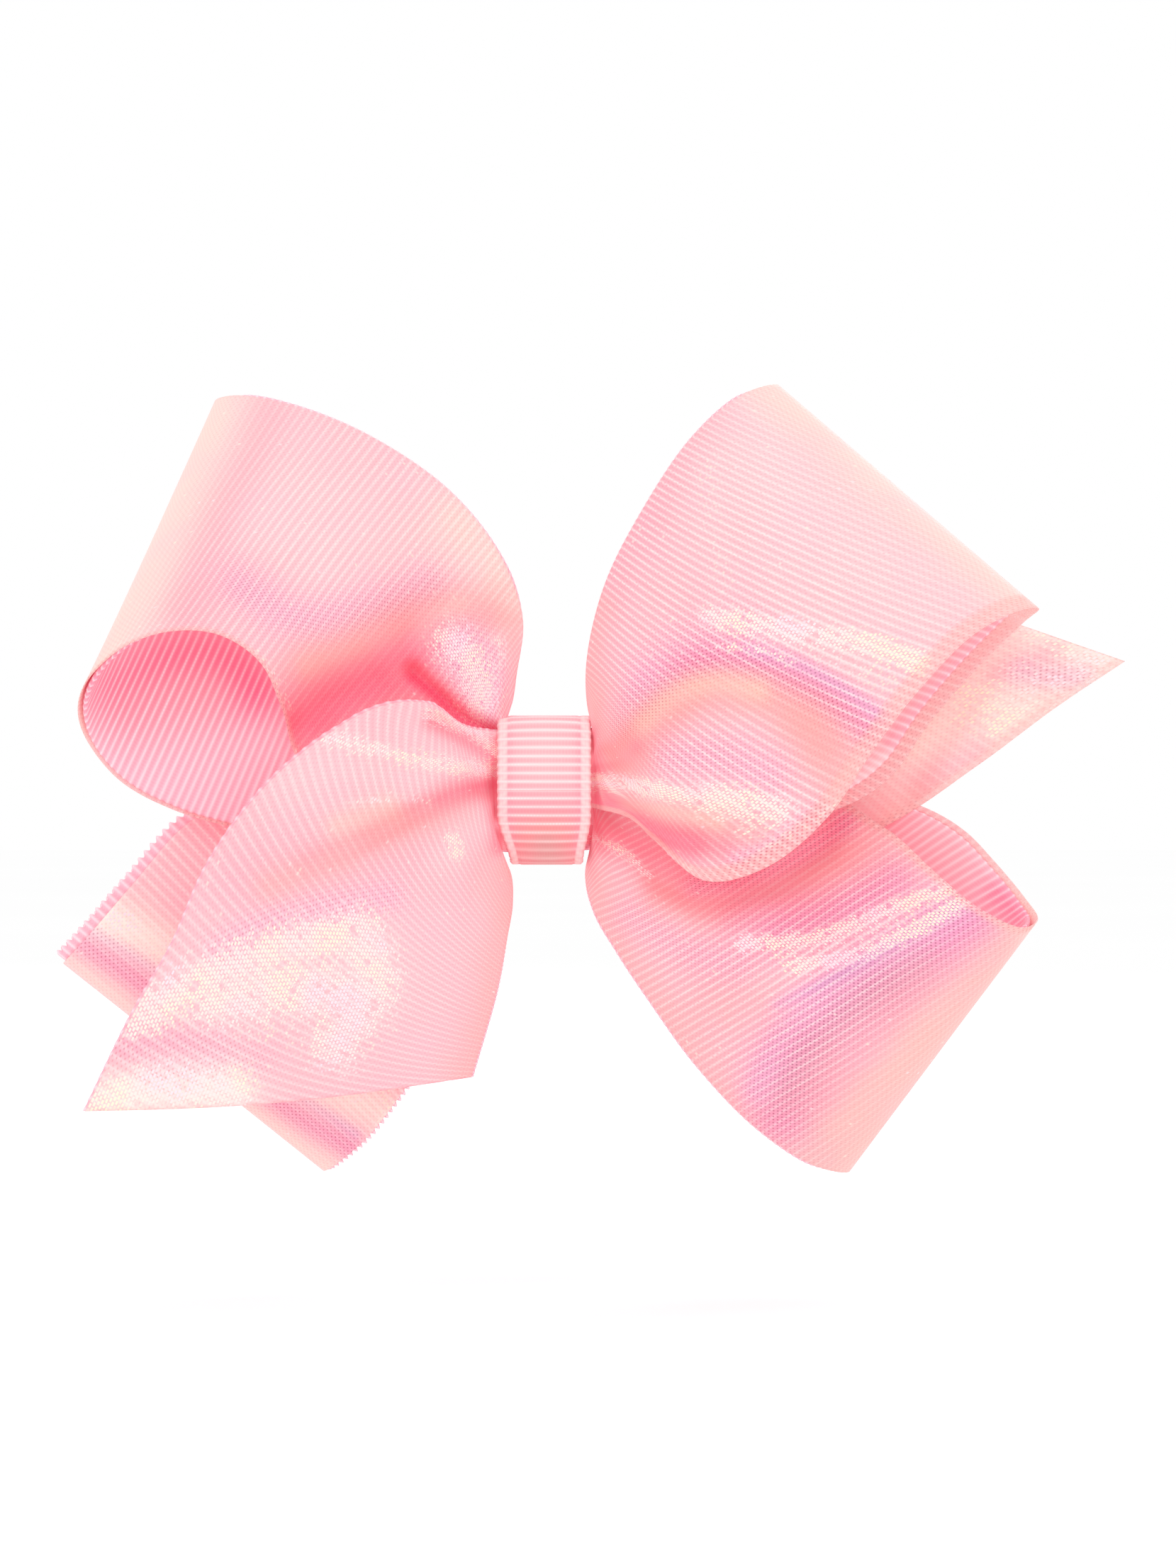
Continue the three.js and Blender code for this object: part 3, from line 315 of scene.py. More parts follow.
            (0.9, 0.6, [(20, -4.4), (23, -4), (25.6, -2.4)]),
            (0.7, 0.7, [(22.5, -6.2), (26, -4.2), (30.6, -1.0)]),
            (0.8, 0.6, [(9.4, -4.4), (12, -6.6), (15, -8.4)]),
            (2.4, 0.4, [(36.5, 9.5), (40, 13.4)]),
        ],
        "inside": [
            ("cream", 6, 0.45, [(33, 2), (42, 12), (49, 18)]),
            ("hot", 1.0, 0.35, [(36, 5), (41, 11), (47, 17)]),
        ],
    },
    "lower_right_loop": {
        "side": 1, "passes": (4.7, 7.9), "folds": (8, 10), "crown": 7, "span": 0.8, "lead": 1,
        "tilt": -0.36, "length": 105,
        "a": [
            [0, 0, -5.6], [-0.8, -0.5, -8.6], [0.2, -1.4, -12.6], [2.4, -2.2, -16.4], [5.75, -3, -21.5],
            [10.8, -4.2, -28.5], [16.75, -5.8, -34.7], [22.7, -7, -38.6], [26.6, -4.65, -39.4],
            [23.45, -2.1, -36.2], [15.95, 0.1, -27], [7.95, 0.9, -17], [2.45, 0.9, -10], [0, 0, -6],
        ],
        "b": [
            [0, 0, 5.2], [6.95, -0.7, 3.2], [14.95, -0.9, 1.5], [21.95, -0.9, 0.3], [26.05, -1, -1.2],
            [28.35, -2.4, -2.8], [31.35, -4.2, -4.8], [35.15, -5.8, -8.4], [39.45, -6.8, -12],
            [43.95, -6.2, -14.2], [46.05, -4.45, -13.4], [44.9, -2.9, -11.3], [41.7, -1.5, -7.4],
            [38.7, -0.7, -4.3], [34.65, -0.1, -1.9], [24.95, 0.7, 1], [12.95, 1.1, 3], [0, 0, 5],
        ],
        "creases": [
            (1.6, 1.8, [(12, -9.6), (17, -11.4), (23, -9.8), (29, -6)]),
            (-1.0, 2.0, [(5, -6), (9, -8), (13, -12)]),
        ],
        "strokes": [
            ("salmon", 3.0, 0.6, [(4.6, -10), (9.6, -20.6), (15.4, -28.9), (21.5, -35)]),
            ("salmon", 3.2, 0.7, [(12, -10.6), (18, -12), (24, -10.2), (31, -6.6), (36, -8)]),
            ("magenta", 1.5, 0.7, [(16, -9.6), (20.5, -8.9), (26.3, -6.6), (31, -3.4)]),
            ("rose", 3.4, 0.5, [(18, -18), (26, -13)]),
            ("magenta", 2.6, 0.6, [(36, -9.4), (31, -12.4), (24, -15)]),
            ("lilac", 2.2, 0.4, [(9, -13), (14, -16), (20, -18)]),
            ("magenta", 2.6, 0.35, [(20, -13.4), (28, -13), (36, -10.4)]),
            ("beige", 6.4, 0.95, [(31, -41), (38, -33), (51.5, -13)]),
            ("taupe", 5.0, 0.6, [(29, -38), (36, -31), (47, -17)]),
            ("peach", 3.0, 0.55, [(30, -33), (37, -24.5), (45, -14.6)]),
            ("rose", 3.2, 0.75, [(29, -31), (36, -22.5), (44, -14)]),
            ("magenta", 3.4, 0.85, [(24.5, -33.5), (26, -27), (31, -22), (38, -16.8), (43.6, -12.4)]),
            ("taupe", 3.0, 0.5, [(25, -31), (30, -24), (38, -18)]),
            ("lilac", 1.6, 0.7, [(22, -31), (24.5, -25), (30, -20), (37, -16), (43, -12)]),
            ("violet", 0.7, 0.55, [(24, -22), (30, -19.2), (37, -15.4), (42, -12.2)]),
            ("salmon", 3.0, 0.3, [(16, -24), (22, -22)]),
            ("violet", 4.0, 0.3, [(24, -29), (31, -21), (43, -12.4)]),
            ("coral", 2.6, 0.8, [(4.8, -4), (9, -5.6), (16, -8.6), (23, -6.6), (28, -3)]),
        ],
        "painted_glint": [
            (1.2, 1.0, [(20.5, -15.8), (28.4, -15.2), (36.2, -12.2), (42.5, -9.9)]),
            (1.2, 1.0, [(25.5, -18.2), (32.3, -16.9), (40, -13.4), (43.2, -11.2)]),
            (1.2, 0.6, [(24, -17), (31, -15.8), (38, -12.8)]),
            (0.8, 0.7, [(5, -5), (8.4, -6.6), (11, -9)]),
            (1.6, 0.3, [(14, -13), (22, -20), (28, -30)]),
        ],
        "inside": [
            ("pale", 6, 0.6, [(33, -2), (42, -6)]),
            ("hot", 1.8, 0.5, [(47.4, -11), (49.6, -13.2)]),
        ],
    },
    "rear_tail": {
        "side": 1, "passes": (6.1, 6.1), "lead": 1, "ribs": 0.45, "length": 62,
        "a": [[0, 0, 6.2], [2.95, -0.1, 12], [6.95, -0.5, 20.5], [11.45, -0.7, 28.6]],
        "b": [
            [0, 0, -5.6], [8.95, -0.3, -7.2], [20.95, -0.5, -7], [30.05, -0.7, -3.9], [40.15, -0.7, 2.7],
            [47.95, -0.9, 8.5], [55.25, -1.1, 13.4],
        ],
        "creases": [(-0.5, 1.6, [(40, 0), (46, 9), (51, 16)]), (0.4, 1.5, [(44, 1), (52, 9)])],
        "strokes": [
            ("pale", 9, 1.0, [(42, 5), (58, 13)]),
            ("cream", 9, 0.9, [(40, 5), (58, 13)]),
            ("beige", 5, 0.7, [(46, 8), (57, 13.4)]),
            ("rose", 2.4, 0.6, [(40, 0.6), (45, 3.6)]),
            ("rose", 1.4, 0.5, [(47, 12), (53, 14.6)]),
            ("salmon", 2.2, 0.5, [(36, -2), (41, -0.4)]),
            ("lilac", 1.6, 0.5, [(49.5, 12.2), (56, 11.6)]),
        ],
        "painted_glint": [
            (0.9, 0.8, [(42.6, 8.8), (44, 10.6)]),
            (1.7, 0.85, [(46.6, 6.4), (49.6, 8.6)]),
            (1.6, 0.7, [(48, 17), (52, 16)]),
            (1.5, 0.8, [(53, 14.8), (58, 13.4)]),
            (5.0, 0.62, [(44, 9), (56, 12)]),
        ],
    },
}

WRAP_GAP = 0.3  # from the side of the wrap to where the runs are drawn from
TUCK = 1.6  # how far the ribbons run on into the wrap
PLEAT_DEPTH = 0.4
PLEAT_PITCH = 8.0
PLEAT_FADE = 5.0
FINE_PLEAT_DEPTH = 0.16
FINE_PLEAT_PITCH = 2.4
FINE_PLEAT_FADE = 8.0
NEST_LENGTH = 4.0
CREASE_NEST = 10.0  # over this distance from the wrap a crease runs through both layers of a loop
CREASE_EASE = 6.0  # over this distance from the wrap a crease deepens
CREASE_AT_WRAP = 0.4  # share of a crease's depth that it has at the wrap
SHEER_OFFSET = 0.6  # from the middle of the grosgrain to the middle of the sheer ribbon
FOLD_START, FOLD_BLEND = 0.49, 0.02  # where along a loop the front layer starts to turn, and over what share
PUFF_START, PUFF_RISE, PUFF_FALL = 0.1, 0.18, 0.16  # shares of a loop's length where its crown swells
PICOT = 0.02
RIB_SWELL = 0.06
SHEER_ROWS, SHEER_COLUMNS = 2.6, 84  # rows for each mm along the ribbon, and columns across it
GROSGRAIN_ROWS, GROSGRAIN_COLUMNS = 7.0, 40
TUCK_STEPS = (1.0, 0.66, 0.33)
TILT_EASE = 8  # over this distance from the wrap the ribs take up their slant
FOLD_GLOSS, FOLD_FADE = 11, 0.8  # how far from a fold the ribs show less through the film, and how much less
BARE_EASE, BARE_TINT = 0.3, 0.6  # how soon the film past the grosgrain's edge turns clear, and how beige
STROKE_FADE = 0.7  # how much less the ribs show through a stroke of painted shade
# The first group of stroke colours is the film's iridescent sheen, painted fixed, where its mesh shows as
# dots; the second is painted shade, where the ribs show less.
DOTTED_TINTS = ("magenta", "violet", "lilac")
SHADE_TINTS = ("coral", "deep", "peach", "salmon")

# ---- the wrap -------------------------------------------------------------------------------------
WRAP_INSET = 0.25  # from the outside of the wrap to the middle of its ribbon
WRAP_SIDE_INSET = 0.15
WRAP_ROWS_PER_RIB, WRAP_COLUMNS = 10, 48
SELVEDGE_SHARE = 0.80  # where the woven edges start, as a share of half the wrap's width
SELVEDGE_EASE = 0.06
SELVEDGE_RIB = 0.55
RIB_HEIGHT = 0.05
GROOVE_DEPTH, GROOVE_SHARE = 0.06, 0.035
WRAP_CROWN = 0.35
WRAP_NUB = 0.03
SELVEDGE_TURN, NUB_TURN = 1.2, 0.6  # how far the edge's ribs and nubs lag the ribs, as angles
FOOT_TOP, FOOT_HEIGHT = 2.6, 5.2  # how far below the middle the foot starts, and how tall it is
FOOT_NARROWING, FOOT_SHIFT = 0.24, 0.25
DIM_TOP, DIM_HEIGHT, DIM = 3.4, 3.4, 0.75  # where the painted highlight on the ribs falls off into painted shade, and by how much
CHAIN_START = 3.85  # from the middle of the wrap to the pale chain along its edges

# ---- the gathers ----------------------------------------------------------------------------------
GATHER_ROWS, GATHER_COLUMNS = 40, 220
GATHER_PLEATS = ((0.22, 9), (0.1, 23))  # depth, and how many go round
GATHER_END_INSET, GATHER_INSET = 1.0, 0.5
GATHER_SQUARENESS = 0.6  # power of the sine and cosine of the section, 1 for an ellipse
WAIST_DEPTH, WAIST_WIDTH = 0.12, 1.6

# ---- the stage, in metres and watts ---------------------------------------------------------------
FLOOR_DROP, FLOOR_REACH = 0.012, 6.0
LIGHTS = {
    "key": ((-0.55, -0.9, 0.85), 0.6, 1.6),
    "fill": ((0.8, -0.8, 0.15), 0.8, 0.5),
    "back": ((0.3, 0.9, 0.7), 0.8, 3.0),
}  # place, size and power
FRAME_HEIGHT = 0.16205  # what the picture takes in from top to bottom, at the front of the wrap
AIM_X, AIM_Z = 0.00454, 0.00062


# ---- numpy surfaces ------------------------------------------------------------------------------
def smooth(t):
    """0 below 0 and 1 above 1, with a smooth cubic step between."""
    t = np.clip(t, 0, 1)
    return t * t * (3 - 2 * t)


def curve_table(points, per_span=24):
    """A centripetal Catmull-Rom curve through the points, as a table of positions and their arc lengths.

    In each span the position is the cubic whose end tangents come from the neighbouring points, weighted
    by the square root of the distances between them. Also gives the arc length at each of the points.
    """
    p = np.asarray(points, float)
    p = np.vstack([2 * p[0] - p[1], p, 2 * p[-1] - p[-2]])
    p0, p1, p2, p3 = p[:-3], p[1:-2], p[2:-1], p[3:]
    pairs = ((p1, p0), (p2, p1), (p3, p2))
    d0, d1, d2 = (np.sqrt(np.linalg.norm(q - r, axis=1))[:, None] for q, r in pairs)
    t1 = ((p1 - p0) / d0 - (p2 - p0) / (d0 + d1) + (p2 - p1) / d1) * d1
    t2 = ((p2 - p1) / d1 - (p3 - p1) / (d1 + d2) + (p3 - p2) / d2) * d1
    t = (np.arange(per_span) / per_span)[None, :, None]
    c2 = (-3 * p1 + 3 * p2 - 2 * t1 - t2)[:, None]
    c3 = (2 * p1 - 2 * p2 + t1 + t2)[:, None]
    spans = p1[:, None] + t1[:, None] * t + c2 * t**2 + c3 * t**3
    table = np.vstack([spans.reshape(-1, p.shape[1]), p[-2:-1]])
    lengths = np.concatenate([[0], np.cumsum(np.linalg.norm(np.diff(table, axis=0), axis=1))])
    return table, lengths, lengths[::per_span]


def along_curve(curve, length):
    """Positions at the given arc lengths of a curve table."""
    table, lengths, _ = curve
    return np.stack([np.interp(length, lengths, table[:, k]) for k in range(table.shape[1])], axis=-1)


def nearness(line, width, x, z):
    """exp(-(distance / width)^2) from each grid point to a smooth line in XZ, and the share along it."""
    if len(line) > 2:
        table, lengths, _ = curve_table(line, 6)
    else:
        table, lengths, _ = curve_table([line[0], np.mean(line, 0), line[1]], 3)
    best = np.full(x.shape, np.inf)
    share = np.zeros(x.shape)
    for k in range(len(table) - 1):
        start, step = table[k], table[k + 1] - table[k]
        t = np.clip(((x - start[0]) * step[0] + (z - start[1]) * step[1]) / max(step @ step, 1e-9), 0, 1)
        distance = np.hypot(x - start[0] - t * step[0], z - start[1] - t * step[1])
        closer = distance < best
        best = np.where(closer, distance, best)
        share = np.where(closer, (lengths[k] + t * (lengths[k + 1] - lengths[k])) / lengths[-1], share)
    return np.exp(-((best / width) ** 2)), share


def run_edges(run):
    """The two edge curves of a run in place, each as (curve table, arc length at its fold)."""
    low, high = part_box("centre_wrap")
    start_x = (high.x - low.x) / 2 / MM + WRAP_GAP
    front, back = (low.y / MM + depth for depth in run["passes"])
    edges = []
    for key, k in (("a", 0), ("b", 1)):
        points = np.array(run[key], float)
        fold = run["folds"][k] if "folds" in run else len(points)
        index = np.arange(len(points))
        station = np.where(index < fold, front, back)
        if fold < len(points):
            station[fold] = (front + back) / 2
        points[:, 0] += run["side"] * start_x
        points[:, 1] += station
        curve = curve_table(points)
        edges.append((curve, curve[2][fold] if fold < len(points) else curve[1][-1]))
    return edges


def run_surface(run, rows, v):
    """A run's middle surface, distance along the ribbon, layer (0 front, 1 back) and distance from the wrap.

    The point at (u, v) is the share v of the way from edge a to edge b, both taken at the share u of their
    length; a loop's fold is at u = 1/2. Pleats move it in Y by cosines of the height it starts from, fading
    with distance from the wrap; the crown moves the front layer out by a squared sine of v; a free end sags
    by a sine of v times u squared; the creases move the front layer by bell curves.
    """
    (a, fold_a), (b, fold_b) = run_edges(run)
    loop = "folds" in run
    u = np.linspace(0, 1, rows)
    if loop:
        front_share, back_share = np.clip(2 * u, 0, 1), np.clip(2 * u - 1, 0, 1)
        length_a = front_share * fold_a + back_share * (a[1][-1] - fold_a)
        length_b = front_share * fold_b + back_share * (b[1][-1] - fold_b)
    else:
        length_a, length_b = u * a[1][-1], u * b[1][-1]
    ribbon = (length_a + length_b) / 2
    pa, pb = along_curve(a, length_a), along_curve(b, length_b)
    surface = pa[:, None] + (pb - pa)[:, None] * v[None, :, None]
    from_wrap = (np.minimum(ribbon, ribbon[-1] - ribbon) if loop else ribbon)[:, None]
    start_z = pa[0, 2] + (pb[0, 2] - pa[0, 2]) * v[None, :]
    wide = np.exp(-((from_wrap / PLEAT_FADE) ** 2))
    surface[..., 1] += PLEAT_DEPTH * wide * np.cos(TAU * start_z / PLEAT_PITCH)
    fine = np.exp(-((from_wrap / FINE_PLEAT_FADE) ** 2))
    surface[..., 1] += FINE_PLEAT_DEPTH * fine * np.cos(TAU * start_z / FINE_PLEAT_PITCH)
    layer = smooth((u - FOLD_START) / FOLD_BLEND)[:, None] if loop else np.zeros((rows, 1))
    x, z = surface[..., 0].copy(), surface[..., 2].copy()
    if loop:
        puff = smooth((u - PUFF_START) / PUFF_RISE) * smooth((0.5 - u) / PUFF_FALL)
        across = np.sin(math.pi * np.clip(v / run["span"], 0, 1)) ** 2
        surface[..., 1] -= run["crown"] * puff[:, None] * across[None, :]
    surface[..., 2] -= run.get("sag", 0) * np.sin(math.pi * v)[None, :] * (u**2)[:, None]
    for depth, width, line in run["creases"]:
        near, share = nearness(line, width, x, z)
        where = np.maximum(1 - layer, np.exp(-((from_wrap / CREASE_NEST) ** 2)))
        eased = CREASE_AT_WRAP + (1 - CREASE_AT_WRAP) * smooth(from_wrap / CREASE_EASE)
        surface[..., 1] += depth * near * where * eased * (1 - 0.5 * share)
    return surface, ribbon, layer, from_wrap


def tuck_in(surface, ribbon, loop, side):
    """Rows added at the wrap end (and at both ends of a loop), which run on straight into the wrap."""
    steps = np.array(TUCK_STEPS)
    head = surface[:1] + np.array([-side, 0, 0]) * (TUCK * steps)[:, None, None]
    surface = np.concatenate([head, surface])
    ribbon = np.concatenate([ribbon[0] - TUCK * steps, ribbon])
    if loop:
        tail = surface[-1:] + np.array([-side, 0, 0]) * (TUCK * steps[::-1])[:, None, None]
        surface = np.concatenate([surface, tail])
        ribbon = np.concatenate([ribbon, ribbon[-1] + TUCK * steps[::-1]])
    return surface, ribbon


def outward_normals(surface, from_wrap, layer):
    """Unit normals on the outer side, turned to -Y or +Y at the wrap, and whether they were flipped."""
    normal = np.cross(np.gradient(surface, axis=0), np.gradient(surface, axis=1))
    normal /= np.maximum(np.linalg.norm(normal, axis=-1, keepdims=True), 1e-12)
    rows = len(surface)
    flipped = bool(normal[rows // 5, surface.shape[1] // 2, 1] > 0)
    if flipped:
        normal = -normal
    straight = np.zeros_like(normal)
    straight[..., 1] = np.where(layer > 0.5, 1.0, -1.0)
    near = np.exp(-((from_wrap / NEST_LENGTH) ** 2))[..., None]
    normal = normal * (1 - near) + straight * near
    return normal / np.linalg.norm(normal, axis=-1, keepdims=True), flipped


def sheet_mesh(middle, normal, offset, thickness, flipped):
    """A closed sheet: each row of the grid becomes a flat ring, out along one side and back along the other.

    The outer side lies offset + thickness / 2 out along the normals and the inner side offset - thickness
    / 2, with one point more at each edge, half a thickness out, so that the edges are round. Caps close both
    ends. Returns the ring grid, its faces, and for each ring point its column on the middle surface.
    """
    rows, columns = middle.shape[:2]
    thickness = np.broadcast_to(thickness, (rows, columns, 1))
    outer = middle + normal * (offset + thickness / 2)
    inner = middle + normal * (offset - thickness / 2)
    centre = middle + normal * offset
    first = centre[:, :1] + unit(centre[:, :1] - centre[:, 1:2]) * thickness[:, :1] / 2
    last = centre[:, -1:] + unit(centre[:, -1:] - centre[:, -2:-1]) * thickness[:, -1:] / 2
    ring = np.concatenate([outer, last, inner[:, ::-1], first], axis=1)
    column = np.concatenate([np.arange(columns), [columns - 1], np.arange(columns)[::-1], [0]])
    count = ring.shape[1]
    quads = tube_quads(rows, count)
    j = np.arange(columns - 1)
    opposite = 2 * columns - j
    cap = np.stack([j, j + 1, opposite - 1, opposite], -1)
    start_rim = np.array([[0, 2 * columns, 2 * columns + 1], [columns - 1, columns, columns + 1]])
    end = (rows - 1) * count
    faces = [quads, cap, cap[:, ::-1] + end]
    triangles = [start_rim[:1], start_rim[1:], start_rim[:1, ::-1] + end, start_rim[1:, ::-1] + end]
    if flipped:
        faces, triangles = [f[:, ::-1] for f in faces], [f[:, ::-1] for f in triangles]
    return ring, faces + triangles, column


def tube_quads(rows, count, closed=False):
    """Quads between rings of count points each; closed also joins the last ring to the first."""
    i, j = np.meshgrid(np.arange(rows if closed else rows - 1), np.arange(count), indexing="ij")
    n, k = (i + 1) % rows, (j + 1) % count
    return np.stack([i * count + j, n * count + j, n * count + k, i * count + k], -1).reshape(-1, 4)


def unit(vectors):
    """Vectors scaled to length 1."""
    return vectors / np.maximum(np.linalg.norm(vectors, axis=-1, keepdims=True), 1e-12)


def build_object(name, positions, faces, uv, colours, values):
    """A mesh object from positions in mm, quads and triangles, a UV map in mm, and point attributes."""
    mesh = bpy.data.meshes.new(name)
    points = (positions.reshape(-1, 3) * MM).astype(np.float32)
    loops = np.concatenate([f.ravel() for f in faces]).astype(np.int32)
    sizes = np.concatenate([np.full(len(f), f.shape[1]) for f in faces])
    starts = np.concatenate([[0], np.cumsum(sizes)[:-1]]).astype(np.int32)
    mesh.vertices.add(len(points))
    mesh.vertices.foreach_set("co", points.ravel())
    mesh.loops.add(len(loops))
    mesh.loops.foreach_set("vertex_index", loops)
    mesh.polygons.add(len(sizes))
    mesh.polygons.foreach_set("loop_start", starts)
    mesh.update(calc_edges=True)
    mesh.polygons.foreach_set("use_smooth", np.ones(len(sizes), bool))
    layer = mesh.uv_layers.new(name="ribbon_mm")
    layer.data.foreach_set("uv", uv.reshape(-1, 2)[loops].astype(np.float32).ravel())
    for key, colour in colours.items():
        attribute = mesh.attributes.new(key, "FLOAT_COLOR", "POINT")
        full = np.concatenate([colour.reshape(-1, 3), np.ones((len(points), 1))], axis=1)
        attribute.data.foreach_set("color", full.astype(np.float32).ravel())
    for key, value in values.items():
        attribute = mesh.attributes.new(key, "FLOAT", "POINT")
        attribute.data.foreach_set("value", value.reshape(-1).astype(np.float32))
    mesh.validate()
    obj = bpy.data.objects.new(name, mesh)
    bpy.context.scene.collection.objects.link(obj)
    return obj


# ---- painting the film ---------------------------------------------------------------------------
def painted(base, strokes, x, z, mask):
    """A colour grid: the base, then each stroke mixed in by its strength times its nearness and the mask.
    The strokes carry painted shade, painted light and painted sheen.
    """
    colour = np.broadcast_to(np.array(linear(PALETTE[base])[:3]), x.shape + (3,)).copy()
    for name, width, strength, line in strokes:
        near, _ = nearness(line, width, x, z)
        mix = (strength * near * mask)[..., None]
        colour += (np.array(linear(PALETTE[name])[:3]) - colour) * mix
    return colour


# ---- materials -----------------------------------------------------------------------------------
def new_material(name):
    """An empty node material with its output, and its node tree."""
    made = bpy.data.materials.new(name)
    made.use_nodes = True
    made.node_tree.nodes.clear()
    return made, made.node_tree


def node(tree, kind, settings=None, links=None, output=0):
    """Adds a node, sets its properties and inputs, links its inputs, and gives one output or a tuple's."""
    made = tree.nodes.new(kind)
    for key, value in (settings or {}).items():
        if isinstance(key, str) and hasattr(made, key):
            setattr(made, key, value)
        else:
            made.inputs[key].default_value = value
    for key, socket in (links or {}).items():
        tree.links.new(socket, made.inputs[key])
    if isinstance(output, tuple):
        return [made.outputs[key] for key in output]
    return made.outputs[output] if made.outputs else None


def math_of(tree, operation, first, second=None):
    """A Math node on two sockets or numbers."""
    settings, links = {"operation": operation}, {}
    for key, value in ((0, first), (1, second)):
        if isinstance(value, bpy.types.NodeSocket):
            links[key] = value
        elif value is not None:
            settings[key] = value
    return node(tree, "ShaderNodeMath", settings, links)


def mix_of(tree, factor, first, second, blend="MIX"):
    """A colour Mix node; factor, first and second are sockets or values."""
    settings, links = {"data_type": "RGBA", "blend_type": blend}, {}
    for key, value in ((0, factor), (6, first), (7, second)):
        if isinstance(value, bpy.types.NodeSocket):
            links[key] = value
        else:
            settings[key] = value
    return node(tree, "ShaderNodeMix", settings, links, 2)


def ribbon_coordinates(tree):
    """Sockets of the distance along and across the ribbon, in mm, from its UV map."""
    uv = node(tree, "ShaderNodeUVMap", {"uv_map": "ribbon_mm"})
    return node(tree, "ShaderNodeSeparateXYZ", None, {0: uv}, (0, 1))


def wave(tree, coordinate, pitch):
    """cos(2 pi coordinate / pitch)."""
    return math_of(tree, "COSINE", times(tree, coordinate, TAU / pitch))


def plus(tree, socket, amount):
    """A socket with a number added."""
    return math_of(tree, "ADD", socket, amount)


def times(tree, first, second):
    """The product of two sockets, or of a socket and a number."""
    return math_of(tree, "MULTIPLY", first, second)


def scaled(tree, socket, factor, amount):
    """A socket times a factor, plus an amount."""
    return node(tree, "ShaderNodeMath", {"operation": "MULTIPLY_ADD", 1: factor, 2: amount}, {0: socket})


def rest_of(tree, socket):
    """1 minus a socket."""
    return math_of(tree, "SUBTRACT", 1.0, socket)


def attribute_of(tree, name, output=2):
    """A point attribute's socket: output 0 for a colour and 2 for a number."""
    return node(tree, "ShaderNodeAttribute", {"attribute_name": name}, None, output)


def clamped(tree, socket):
    """A socket held between 0 and 1."""
    return math_of(tree, "MINIMUM", math_of(tree, "MAXIMUM", socket, 0.0), 1.0)


def finish_surface(tree, colour, roughness, bump, settings, alpha=None):
    """A Principled surface with its colour, roughness and bump sockets, and uniform settings."""
    links = {"Base Color": colour, "Roughness": roughness, "Normal": bump}
    if alpha is not None:
        links["Alpha"] = alpha
    shader = node(tree, "ShaderNodeBsdfPrincipled", settings, links)
    node(tree, "ShaderNodeOutputMaterial", None, {"Surface": shader})


def bump_of(tree, height, distance, strength):
    """A Bump node; distance is in metres."""
    return node(tree, "ShaderNodeBump", {"Distance": distance, "Strength": strength}, {"Height": height})


